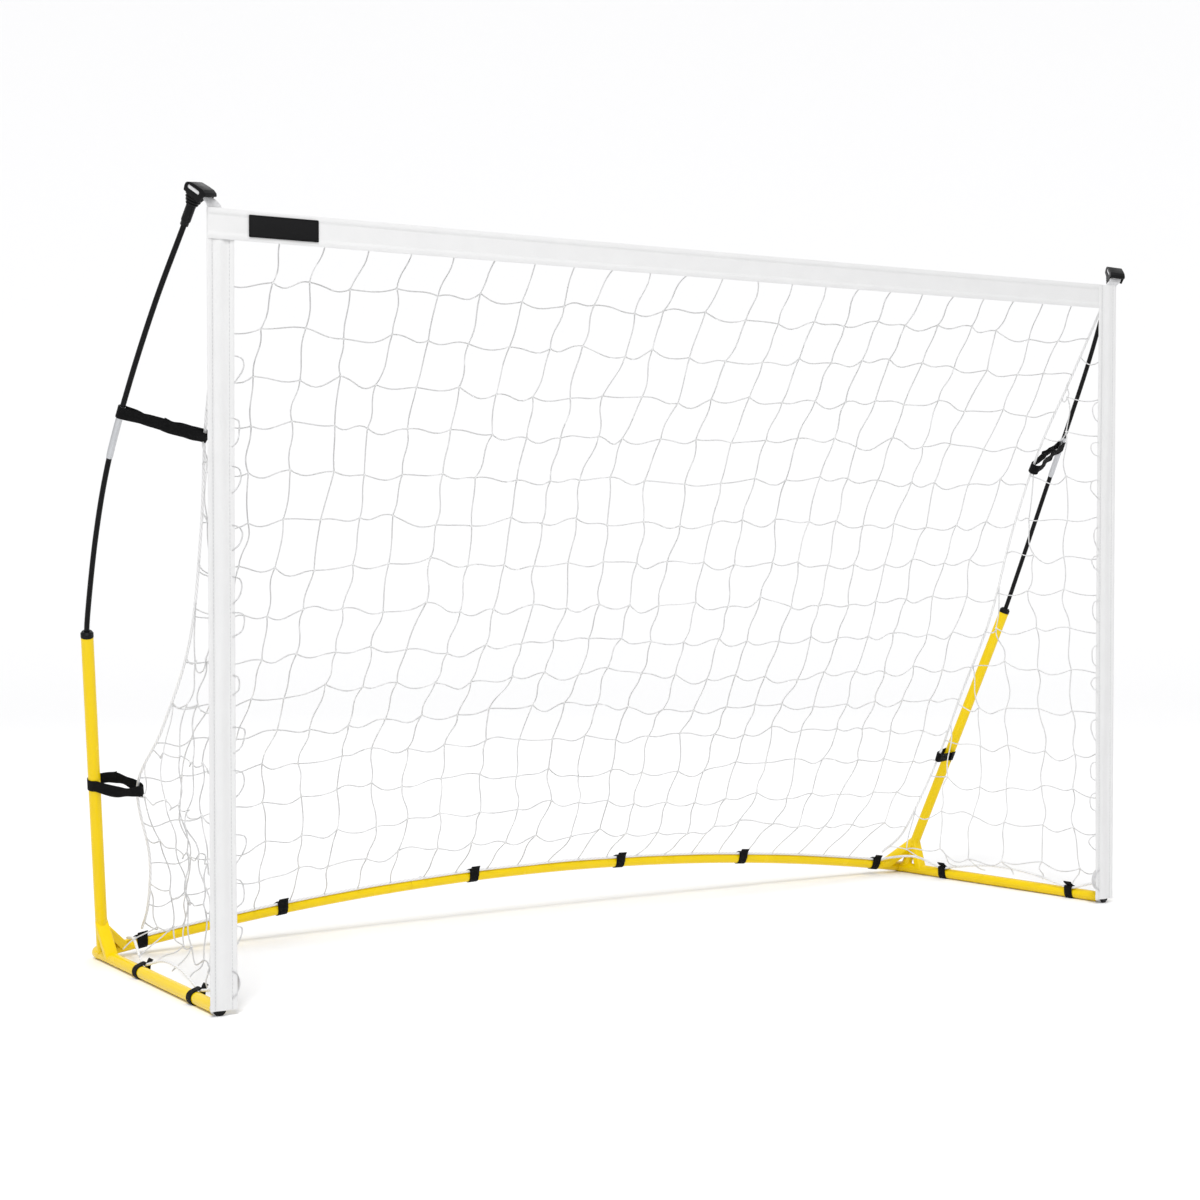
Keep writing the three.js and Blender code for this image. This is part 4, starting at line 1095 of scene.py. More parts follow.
@dataclass
class FlexPole:
    """A two-piece fibreglass pole: its collar, ferrule, elastic cord and tip cap."""

    side: Side
    radius: float = 5.5
    splice_height: float = 1112.0
    ferrule: float = 112.0
    cap_length: float = 85.5
    sleeve: float = 9.5
    sleeve_length: float = 44.0
    grip: float = 18.0
    reach: float = 34.0
    head_width: float = 36.0
    plate: float = 2.5
    ribs: int = 6
    rib_depth: float = 1.8

    def rods(self) -> None:
        """The two lengths of rod and the steel ferrule over their joint."""
        line = LINES.pole(self.side)
        total, splice = length_of(line), at_height(line, self.splice_height)
        word = self.side.word
        for name, start, end in (
            ("lower_pole", 0.0, splice - 0.0003), ("upper_pole", splice + 0.0003, total),
        ):
            mesh = bmesh.new()
            points = part_of(line, start, end, 0.012)
            sweep(mesh, frames_along(points, ACROSS), circle(self.radius * MM, 24))
            finish_piece(thing(f"{name}_{word}_rod", mesh, 60), ROD, f"{name}_{word}")
        half = self.ferrule / 2 * MM
        points = part_of(line, splice - half, splice + half, 0.007)
        last = len(points) - 1
        mesh = bmesh.new()
        sweep(
            mesh, frames_along(points, ACROSS),
            lambda k: circle((6.8 if 0 < k < last else 6.0) * MM, 32),
        )
        finish_piece(thing(f"ferrule_{word}_sleeve", mesh, 50), STEEL, f"ferrule_{word}")
        dress_node(f"shock_cord_{word}", TAPE)

    def collar(self) -> None:
        """The stepped black collar in the upright's top."""
        frame = aim(LINES.upright_top(self.side), LINES.upright_way(self.side))
        profile = [(6.1, -24), (10.6, -24), (11.2, 0), (11.2, 0.3), (12.9, 0.3), (13.1, 1.2)]
        profile += [(13.1, 8.6), (12.7, 9.6), (11.4, 10.4), (10.9, 11.0), (10.7, 12.4), (9.9, 13)]
        profile += [(6.1, 13), (6.1, -24)]
        name = f"pole_collar_{self.side.word}"
        finish_piece(thing(f"{name}_ring", turned(profile, frame, 40)), BLACK, name)

    def sleeve_profile(self) -> list[tuple[float, float]]:
        """The outline of the sleeve on the pole, going up."""
        r, bore = self.sleeve, self.radius + 0.3
        return [
            (0, 58.0), (bore, 58.0), (bore, 0), (r - 1.9, 0), (r - 1.5, 0.5), (r - 1.4, 8),
            (r - 0.2, 9.5), (r, 11), (r, self.sleeve_length), (0, self.sleeve_length),
        ]

    def fan(self, frame: Matrix) -> bpy.types.Object:
        """The ribbed grip, which fans out from the sleeve to the head."""
        foot, top = self.sleeve_length - 5, self.cap_length - 11
        shares, depths = [0.0], [0.0]
        for k in range(self.ribs):
            for part, deep in ((0.12, 0.0), (0.24, 1.0), (0.56, 1.0), (0.68, 0.0), (1.0, 0.0)):
                shares.append((k + part) / self.ribs)
                depths.append(deep * self.rib_depth)
        rise = [math.sin(share * math.pi / 2) ** 0.9 for share in shares]
        frames = [frame @ Matrix.Translation((0, 0, (foot + (top - foot) * t) * MM)) for t in shares]

        def section(k: int) -> list[tuple[float, float]]:
            """A rounded oblong, wider towards the hook as it rises."""
            across = self.sleeve + (self.head_width / 2 - 0.6 - self.sleeve) * rise[k] - depths[k]
            back = self.sleeve + (self.grip - self.sleeve) * rise[k] - depths[k]
            ahead = self.sleeve + (self.grip + 1.5 - self.sleeve) * rise[k] - depths[k]
            points = []
            for j in range(48):
                c, d = math.cos(TAU * j / 48), math.sin(TAU * j / 48)
                power = 1.0 - 0.3 * rise[k]
                x = across * math.copysign(abs(c) ** power, c)
                y = (ahead if d > 0 else back) * math.copysign(abs(d) ** power, d)
                points.append((x * MM, y * MM))
            return points

        mesh = bmesh.new()
        sweep(mesh, frames, section)
        return thing("fan", mesh)

    def slab(self, name: str, outline: list[tuple[float, float]], width: float, bevel: float = 0.0,
             shift: float = 0.0) -> bpy.types.Object:
        """A plate standing along the hook.

        Args:
            name: the object's name.
            outline: its corners, as distances towards the field and up the pole.
            width: its thickness, across the hook.
            bevel: the radius of its edges.
            shift: how far it is from the pole's axis, across the hook.

        Returns:
            The object.
        """
        stand = Matrix(((0, 0, 1, shift * MM), (1, 0, 0, 0), (0, 1, 0, 0), (0, 0, 0, 1)))
        mesh = plate(outline, width, bevel, 4)
        bmesh.ops.transform(mesh, matrix=LINES.cap_frame(self.side) @ stand, verts=mesh.verts)
        return thing(name, mesh)

    def window(self, grow: float) -> list[tuple[float, float]]:
        """The outline of the side window, grown by a distance."""
        radius, half, points = 3.9 + grow, 11.5, []
        for k in range(24):
            angle = TAU * k / 24
            end = half if math.cos(angle) > 0 else -half
            along = end + radius * math.cos(angle)
            points.append((4 + along, self.cap_length - 10.2 - 0.08 * along + radius * math.sin(angle)))
        return points

    def cap(self) -> None:
        """The moulded tip cap: sleeve, ribbed fan and a hollow hook with open cheeks."""
        word, frame = self.side.word, LINES.cap_frame(self.side)
        piece = thing(f"tip_cap_{word}_moulding", turned(self.sleeve_profile(), frame, 48), 50)
        back, front, top, wall = -self.grip, self.reach, self.cap_length, self.plate
        shelf = top - 18
        head = self.slab("head", [
            (back + 2, shelf - 2), (back, top - 12), (back + 0.6, top - 6.4), (back + 3, top - 3),
            (back + 11, top), (10, top), (24, top - 1), (front - 3, top - 4), (front - 0.6, top - 6.5),
            (front, top - 8.5), (front, top - 10), (front - 1.2, top - 11.2), (front - 4, top - 12),
            (front - 6.5, top - 19), (front - 9, top - 27), (front - 12, top - 28.5),
            (front - 15, top - 26), (14, shelf - 8),
        ], self.head_width, 1.8)
        hollow = self.slab("hollow", [
            (back + wall + 4, shelf + 3), (back + wall + 2, top - 2 * wall - 1), (back + 12, top - wall),
            (10, top - wall), (22, top - wall - 1), (front - 4.5, top - 7), (front - 4.5, top - 40),
            (20.5, top - 40), (17, shelf + 1),
        ], self.head_width - 9)
        opening = self.slab("opening", self.window(0.0), self.head_width + 12)
        carve(piece, self.fan(frame), head, add=True)
        carve(piece, hollow, opening)
        soften(piece, 0.45)
        finish_piece(piece, BLACK, f"tip_cap_{word}")
        for number, shift in enumerate((-1, 1), start=1):
            tab = self.slab(f"webbing_tab_{word}_{number}", self.window(-0.15), 3.0, 0.5,
                            shift * (self.head_width / 2 - 3.2))
            finish_piece(tab, TAPE)

    def webbing(self) -> None:
        """The white webbing from the mouth's corner into the cap's head."""
        frame, s = LINES.cap_frame(self.side), self.side.value
        top, reach = self.cap_length, self.reach
        across = s * (LINES.mouth_width / 2 - 20)
        edge = place(across, 2.7, LINES.mouth_height - 3)
        lip = frame @ (Vector((0, reach - 8.5, top - 15)) * MM)
        spine = curved([
            place(across, 2.7, LINES.mouth_height - 34), edge, edge.lerp(lip, 0.2),
            edge.lerp(lip, 0.8), lip, frame @ (Vector((0, reach - 14, top - 8.5)) * MM),
            frame @ (Vector((0, -4, top - 8)) * MM),
        ], 0.0012)
        wide = frame.to_3x3() @ ACROSS
        wide = wide if wide.x > 0 else -wide
        frames = []
        for k, point in enumerate(spine):
            share = k / (len(spine) - 1)
            way = (spine[min(k + 1, len(spine) - 1)] - spine[max(k - 1, 0)]).normalized()
            mix = min(1.0, max(0.0, 6.0 * (share - 0.42)))
            frames.append(frame_at(point, ACROSS.lerp(wide, mix), way))
        mesh = bmesh.new()
        sweep(mesh, frames, tape(25 * MM, 1.5 * MM, 8))
        piece = thing(f"corner_webbing_{self.side.word}_tape", mesh, 60)
        finish_piece(piece, TAPE, f"corner_webbing_{self.side.word}")

    def build(self) -> None:
        """Every part of the pole."""
        self.rods()
        self.collar()
        self.cap()
        self.webbing()


# ---- fabric bands -------------------------------------------------------------------------


@dataclass
class Bands:
    """The posts and crossbar of hemmed cloth, the label and the loops at the feet."""

    post_width: float = 57.0
    bar_height: float = 58.0
    foot: float = 11.0
    hem: float = 11.0
    thin: float = 1.3
    thick: float = 2.4

    def hemmed(self, width: float, wave: Callable[[float], float]) -> list[tuple[float, float]]:
        """The section of a band: thicker at its hems, and rippled across.

        Args:
            width: the band's width in millimetres.
            wave: how far a point across it stands out, for a share of its width.

        Returns:
            The outline in metres.
        """
        stops = [0.0, 0.04, 0.12, 0.185, 0.2, 0.26, 0.34, 0.42, 0.5, 0.58, 0.66, 0.74, 0.8, 0.815, 0.88, 0.96, 1.0]
        front, back = [], []
        for share in stops:
            edge = min(share, 1 - share)
            deep = self.thick if edge < self.hem / width else self.thin
            deep *= 0.55 if edge == 0.0 else 1.0
            x, y = (share - 0.5) * width, wave(share)
            front.append((x * MM, (y - deep / 2) * MM))
            back.append((x * MM, (y + deep / 2) * MM))
        return [*front, *reversed(back)]

    def post(self, side: Side) -> None:
        """A post band, slightly twisted by the pull of the net and softly folded."""
        s, name = side.value, f"post_band_{side.word}"
        top = LINES.mouth_height
        count = 150
        x = s * (LINES.mouth_width - self.post_width) / 2
        seed = 3.1 + s
        frames = []
        for k in range(count + 1):
            share = k / count
            z = self.foot + (top - self.foot) * share
            pull = math.sin(math.pi * share)
            twist = s * math.radians(5.0) * (0.25 + 0.75 * pull)
            sway = 1.2 * noise.noise(Vector((seed, 0.0, z / 260)))
            away = self.post_width / 2 * math.sin(abs(twist)) + self.thick / 2 - 0.6
            across = Vector((math.cos(twist), -math.sin(twist), 0.0))
            frames.append(frame_at(place(x + sway * 0.4, away + sway * 0.5, z), across, UP))

        def section(k: int) -> list[tuple[float, float]]:
            """The folds at one height."""
            z = k / count * 6.0
            deep = 1.5 + 1.1 * noise.noise(Vector((seed, z * 0.7, 4.0)))
            slide = 0.5 * noise.noise(Vector((z * 0.5, seed, 9.0)))
            return self.hemmed(self.post_width, lambda u: deep * math.sin(TAU * (1.5 * u + slide)) * math.sin(math.pi * u))

        mesh = bmesh.new()
        sweep(mesh, frames, section)
        piece = thing(f"{name}_cloth", mesh, 50)
        finish_piece(piece, BAND, name)
        for edge in (-1, 1):
            self.stitches(f"{name}_stitching_{'out' if edge * s > 0 else 'in'}", frames, section, edge)

    def stitches(
        self, name: str, frames: Sequence[Matrix], section: Callable[[int], Section], edge: int
    ) -> None:
        """A line of stitches along a hem.

        Args:
            name: the piece's name.
            frames: the band's frames.
            section: the band's section at each frame.
            edge: -1 for the low edge of the section, or 1 for the high one.
        """
        spots = []
        for k, frame in enumerate(frames):
            x, y = section(k)[3 if edge < 0 else 13]
            spots.append(frame @ Vector((x, y - 0.0002, 0.0)))
        line = evenly(spots, 0.0075)
        ahead = frames[0].to_3x3() @ ACROSS
        mesh = bmesh.new()
        for a, b in zip(line, line[1:]):
            gap = (b - a) * 0.18
            run = [a + gap, (a + b) / 2, b - gap]
            sweep(mesh, frames_along(run, ahead), circle(0.00045, 5))
        finish_piece(thing(name, mesh, 80), THREAD)

    def crossbar(self) -> None:
        """The crossbar band, lapped over the left post and under the right one."""
        top = LINES.mouth_height
        half = LINES.mouth_width / 2
        start, end = -half + 1.0, half - self.post_width + 14.0
        count = 230
        frames = []
        for k in range(count + 1):
            x = start + (end - start) * k / count
            lap = max(0.0, 1.0 - (x - start) / (self.post_width + 8))
            under = max(0.0, 1.0 - (end - x) / 20)
            sag = 1.2 * math.sin(math.pi * k / count)
            y = 1.0 - 2.4 * min(1.0, 3 * lap) + 2.6 * min(1.0, 2 * under) + 0.5 * noise.noise(Vector((x / 170, 5.0, 0.0)))
            frames.append(frame_at(place(x, y, top - self.bar_height / 2 - sag), UP, ACROSS))

        def section(k: int) -> list[tuple[float, float]]:
            """Small gathers where the net's cords pull the lower edge."""
            x = k / count * (end - start)
            tug = 0.5 + 0.5 * math.cos(TAU * x / 97.0)
            deep = 0.45 * noise.noise(Vector((x / 90, 2.0, 1.0)))
            return self.hemmed(self.bar_height, lambda u: -(deep * math.sin(TAU * 1.2 * u) + 0.8 * tug * (1 - u) ** 6))

        mesh = bmesh.new()
        sweep(mesh, frames, section)
        piece = thing("crossbar_band_cloth", mesh, 50)
        finish_piece(piece, BAND, "crossbar_band")
        for edge, word in ((-1, "lower"), (1, "upper")):
            self.stitches(f"crossbar_band_stitching_{word}", frames, section, edge)

    def label(self) -> None:
        """A plain black cloth label with a sewn edge."""
        low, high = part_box("label_patch")
        width, height = (high.x - low.x) / MM, (high.z - low.z) / MM
        middle = (low + high) / 2
        middle.y = low.y - 0.0006
        corners = []
        for cx, cz, first in ((1, 1, 0), (-1, 1, 1), (-1, -1, 2), (1, -1, 3)):
            for k in range(5):
                t = math.pi / 2 * (first + k / 4)
                corners.append((cx * (width / 2 - 2) + 2 * math.cos(t), cz * (height / 2 - 2) + 2 * math.sin(t)))
        mesh = plate(corners, 1.4, 0.35, 2)
        uv = mesh.loops.layers.uv.verify()
        for face in mesh.faces:
            for loop in face.loops:
                loop[uv].uv = loop.vert.co.xy
        turn = Matrix(((1, 0, 0, 0), (0, 0, -1, 0), (0, 1, 0, 0), (0, 0, 0, 1)))
        bmesh.ops.transform(mesh, matrix=Matrix.Translation(middle) @ turn, verts=mesh.verts)
        piece = finish_piece(thing("label_patch_cloth", mesh), LABEL, "label_patch")
        border = [middle + Vector((x * MM * 0.965, -0.0009, z * MM * 0.9)) for x, z in corners]
        line = evenly([*border, border[0]], 0.004)
        stitch = bmesh.new()
        for a, b in zip(line, line[1:]):
            gap = (b - a) * 0.15
            sweep(stitch, frames_along([a + gap, (a + b) / 2, b - gap], Vector((0, 1, 0))), circle(0.0004, 5))
        finish_piece(thing("label_stitching", stitch, 80), LABEL)

    def foot_loop(self, side: Side) -> None:
        """The elastic loop that holds a post's foot on the side tube's end."""
        name = f"foot_loop_{side.word}"
        centre = LINES.side(side, 16.0)
        way = (LINES.side(side, 100.0) - centre).normalized()
        frame = aim(centre, way)
        spots = []
        for k in range(65):
            t = TAU * k / 64
            radius = 13.9 * MM
            spots.append(frame @ Vector((radius * math.cos(t), radius * math.sin(t), 0.0)))
        frames = frames_along(spots, way)
        first, last = frames[0].copy(), frames[-1].copy()
        frames[0] = frame_at(first.translation, way, (spots[1] - spots[-2]).normalized())
        frames[-1] = frame_at(last.translation, way, (spots[1] - spots[-2]).normalized())
        mesh = bmesh.new()
        sweep(mesh, frames, tape(14 * MM, 1.5 * MM, 4), capped=False)
        bmesh.ops.remove_doubles(mesh, verts=mesh.verts, dist=1e-5)
        piece = thing(f"{name}_elastic", mesh, 60)
        finish_piece(piece, TAPE, name)
        edge = side.value * (LINES.mouth_width / 2 - self.post_width)
        inward = -side.value
        bulge = curved([
            place(edge - inward * 12, 4.5, 34), place(edge - inward * 3, 4.8, 40),
            place(edge + inward * 4, 5.2, 52), place(edge + inward * 4, 5.2, 66),
            place(edge - inward * 3, 4.8, 80), place(edge - inward * 12, 4.5, 86),
        ], 0.003)
        mesh = bmesh.new()
        sweep(mesh, frames_along(bulge, Vector((0.0, 1.0, 0.0))), tape(12 * MM, 1.5 * MM, 4))
        tab = finish_piece(thing(f"{name}_tab", mesh, 60), TAPE)

    def build(self) -> None:
        """Every band."""
        for side in Side:
            self.foot_loop(side)
            self.post(side)
        self.crossbar()
        self.label()


# ---- ropes and net ------------------------------------------------------------------------


@dataclass
class BorderRopes:
    """The ropes that edge the net: one down each side, and one round the base."""

    radius: float = 3.0

    def bottom_line(self) -> list[Vector]:
        """The centre line round the base, lifted between the straps of each side."""
        def wing(side: Side) -> list[Vector]:
            """From the post's foot to the rear corner."""
            front, back = SIDE_STRAPS[side]
            s = side.value
            post = s * (LINES.mouth_width / 2 - 28.5)
            gap = back - front
            corner = place(s * (LINES.rear_width / 2 - 34), LINES.base_depth - 105, LINES.axis_height + 40)
            return [
                place(post, 8, 49), place(post - s * 6, 42, 44),
                LINES.rope_on_side(side, front - 16, 2), LINES.rope_on_side(side, front),
                LINES.rope_on_side(side, front + 18, 3),
                LINES.rope_on_side(side, front + gap * 0.3, 22), LINES.rope_on_side(side, front + gap * 0.62, 26),
                LINES.rope_on_side(side, back - 22, 5), LINES.rope_on_side(side, back),
                LINES.rope_on_side(side, back + 20, 4), corner,
            ]

        last = REAR_STRAPS[-1] + 19.5
        stops = [k * 60.0 for k in range(-17, 18)]
        return curved([
            *wing(Side.LEFT), LINES.rope_on_rear(-last - 14, 6), LINES.rope_on_rear(-last),
            *(LINES.rope_on_rear(x, 1.5 * noise.noise(Vector((x / 140, 0, 0)))) for x in stops),
            LINES.rope_on_rear(last), LINES.rope_on_rear(last + 14, 6), *reversed(wing(Side.RIGHT)),
        ], 0.008)

    def build(self) -> None:
        """The three ropes."""
        mesh = bmesh.new()
        sweep(mesh, frames_along(self.bottom_line(), UP), circle(self.radius * MM, 12))
        finish_piece(thing("bottom_rope_strands", mesh, 80), ROPE, "bottom_rope")
        for side in Side:
            mesh = bmesh.new()
            line = LINES.edge_rope(side)
            sweep(mesh, frames_along(line, ACROSS), circle(self.radius * MM, 12))
            name = f"edge_rope_{side.word}"
            finish_piece(thing(f"{name}_strands", mesh, 80), ROPE, name)


@dataclass
class Net:
    """Knotted square mesh of thin cord, hung from the crossbar and tied to the ropes."""

    cell: float = 98.0
    cord_radius: float = 1.45
    knot_radius: float = 2.6
    seed: int = 41
    lines: list[list[Vector]] = field(default_factory=list)
    knots: list[Vector] = field(default_factory=list)

    def loose(self, a: Vector, b: Vector, chance: random.Random, slack: float, down: float) -> list[Vector]:
        """A slack length of cord between two knots.

        Args:
            a: the first knot.
            b: the second knot.
            chance: where its shape comes from.
            slack: how far it strays, in millimetres.
            down: how far it sags, in millimetres.

        Returns:
            Its points, without b.
        """
        way = b - a
        side = way.cross(Vector((0.13, 1.0, 0.21)))
        side = side.normalized() if side.length > 1e-6 else ACROSS
        out = way.cross(side).normalized()
        first, second = chance.uniform(-1, 1), chance.uniform(-1, 1)
        third = chance.uniform(-1, 1)
        drop = down * chance.uniform(0.2, 1.2)
        points = []
        for k in range(8):
            t = k / 8
            hump, ess = math.sin(math.pi * t), math.sin(TAU * t)
            stray = side * (first * hump + second * 0.8 * ess) * slack * MM
            stray += out * (third * hump * slack * 0.7) * MM
            points.append(a.lerp(b, t) + stray - UP * (hump * drop * MM))
        return points

    def grid(
        self, knots: list[list[Vector]], chance: random.Random, free: tuple[float, float, float, float]
    ) -> None:
        """Strings cords through a grid of knots.

        Args:
            knots: rows of knots, from the top down. The first and last of each row and column
                are on a border, so no knot is tied there.
            chance: where the shapes come from.
            free: slack and sag of the cords that run across, then of those that run down.
        """
        for row in knots[1:-1]:
            self.string(row, chance, free[0], free[1])
        for c in range(1, len(knots[0]) - 1):
            self.string([row[c] for row in knots], chance, free[2], free[3])
        self.knots += [knot for row in knots[1:-1] for knot in row[1:-1]]

    def back(self, chance: random.Random) -> None:
        """The back, from the crossbar down to the rope on the rear bar."""
        left, right = LINES.edge_rope(Side.LEFT), LINES.edge_rope(Side.RIGHT)
        length = length_of(left)
        columns = round(2326 / self.cell)
        rows = round(length / MM / self.cell)
        grid = []
        for r in range(rows + 1):
            v = r / rows
            a = left[round(v * (len(left) - 1))]
            b = right[round(v * (len(right) - 1))]
            row = []
            for c in range(columns + 1):
                u = c / columns
                point = a.lerp(b, u)
                bow = 4 * u * (1 - u)
                if r == 0:
                    x = -1165 + 2330 * u
                    point = place(x, 2.2, 1467.5)
                elif r == rows:
                    x = -1046 + 2092 * u
                    point = LINES.rope_on_rear(x, 1)
                else:
                    point.z += bow * (LINES.arch(0).z - LINES.arch(1058).z) * v**3
                    point.y += bow * 0.06 * math.sin(math.pi * v) * (1 - 0.4 * v)
                    inner = 0.0 if c in (0, columns) else 1.0
                    off = Vector((chance.gauss(0, 5.0), chance.gauss(0, 5.0), chance.gauss(0, 6.0)))
                    point += off * MM * inner + wander(point, 0.45, 3.0) * 0.016 * inner
                    point.y = max(point.y, MOUTH_Y + 0.004)
                row.append(point)
            grid.append(row)
        self.grid(grid, chance, (7.0, 9.0, 5.0, 0.0))

    def wing(self, side: Side, chance: random.Random) -> None:
        """A side of the net, between the post, the sloping rope and the rope on the base."""
        rope, s = LINES.edge_rope(side), side.value
        heights = [78.0 + self.cell * r for r in range(14)]
        depth = (rope[-1].y - MOUTH_Y) / MM
        count = round(depth / self.cell)
        tied: dict[tuple[int, int], Vector] = {}
        for r, z in enumerate(heights):
            far = min(rope, key=lambda p: abs(p.z - z * MM))
            near = place(s * 1206, 7, z)
            reach = (far.y - MOUTH_Y) / MM - 7
            for c in range(1, count):
                share = (depth * c / count - 7) / reach
                if share < 0.93:
                    tied[r, c] = self.on_wing(near, far, share, side, chance)
            row = [near, *(tied[r, c] for c in range(1, count) if (r, c) in tied), far]
            self.string(row, chance, 9.0, 15.0)
        for c in range(1, count):
            top = min(rope, key=lambda p: abs((p.y - MOUTH_Y) / MM - depth * c / count))
            foot = LINES.rope_on_side(side, depth * c / count, 12)
            run = [tied[r, c] for r in reversed(range(len(heights))) if (r, c) in tied]
            self.string([top, *run, foot], chance, 8.0, 0.0)
        self.knots += tied.values()
        self.lacing(side, chance)

    def lacing(self, side: Side, chance: random.Random) -> None:
        """The slack cord that ties the net to the inner edge of a post, in small loops."""
        s = side.value
        for r in range(12):
            z = 1240.0 - self.cell * r + chance.uniform(-18.0, 18.0)
            size = chance.uniform(8.0, 22.0)
            fall = chance.uniform(34.0, 62.0)
            loop = [
                place(s * 1169, 4, z), place(s * (1163 - size * chance.uniform(0.5, 0.9)), 5, z - fall * 0.1),
                place(s * (1163 - size), 7, z - fall * chance.uniform(0.3, 0.5)),
                place(s * (1163 - size * chance.uniform(0.2, 0.8)), 6, z - fall * 0.8),
                place(s * 1169, 4, z - fall),
            ]
            self.lines.append(curved(loop, 0.004))

    def string(self, knots: Sequence[Vector], chance: random.Random, slack: float, down: float) -> None:
        """Strings one cord from knot to knot."""
        line: list[Vector] = []
        for a, b in zip(knots, knots[1:]):
            line += self.loose(a, b, chance, slack, down)
        self.lines.append([*line, knots[-1]])

    def on_wing(self, near: Vector, far: Vector, share: float, side: Side, chance: random.Random) -> Vector:
        """A knot between the post and the rope, bagging a little inwards."""
        point = near.lerp(far, share)
        bag = math.sin(math.pi * share)
        point += Vector((-side.value * 0.02 * bag, 0.0, 0.0)) + wander(point, 0.3, 8.0) * 0.014
        return point + Vector((chance.gauss(0, 5), chance.gauss(0, 5), chance.gauss(0, 7))) * MM

    def cords(self, name: str, first: int, *nodes: str) -> None:
        """Makes the strung lines from a number on into one piece."""
        data = bpy.data.curves.new(name, "CURVE")
        data.dimensions = "3D"
        data.bevel_depth = self.cord_radius * MM
        data.bevel_resolution = 1
        data.use_fill_caps = True
        for line in self.lines[first:]:
            spline = data.splines.new("POLY")
            spline.points.add(len(line) - 1)
            for spot, point in zip(spline.points, line):
                spot.co = (*point, 1.0)
        curve = bpy.data.objects.new(name, data)
        bpy.context.scene.collection.objects.link(curve)
        graph = bpy.context.evaluated_depsgraph_get()
        mesh = bpy.data.meshes.new_from_object(curve.evaluated_get(graph))
        bpy.data.objects.remove(curve)
        mesh.shade_smooth()
        piece = bpy.data.objects.new(name, mesh)
        bpy.context.scene.collection.objects.link(piece)
        finish_piece(piece, CORD, *nodes)

    def tie(self, name: str, first: int, chance: random.Random) -> None:
        """Makes the knots from a number on into one piece."""
        mesh = bmesh.new()
        for spot in self.knots[first:]:
            turn = Matrix.Rotation(chance.uniform(0, TAU), 4, Vector((chance.gauss(0, 1), 1.0, chance.gauss(0, 1))))
            scale = Matrix.Diagonal((1.25, 0.85, 1.0 + 0.25 * chance.random(), 1.0))
            bmesh.ops.create_icosphere(
                mesh, subdivisions=2, radius=self.knot_radius * MM,
                matrix=Matrix.Translation(spot) @ turn @ scale,
            )
        finish_piece(thing(name, mesh, 80), CORD)

    def build(self) -> None:
        """The back and the two sides."""
        chance = random.Random(self.seed)
        self.back(chance)
        self.cords("net_back_cords", 0, "net_back")
        self.tie("net_back_knots", 0, chance)
        for side in Side:
            cords, knots = len(self.lines), len(self.knots)
            self.wing(side, chance)
            self.cords(f"net_side_{side.word}_cords", cords, f"net_side_{side.word}")
            self.tie(f"net_side_{side.word}_knots", knots, chance)


# ---- straps -------------------------------------------------------------------------------


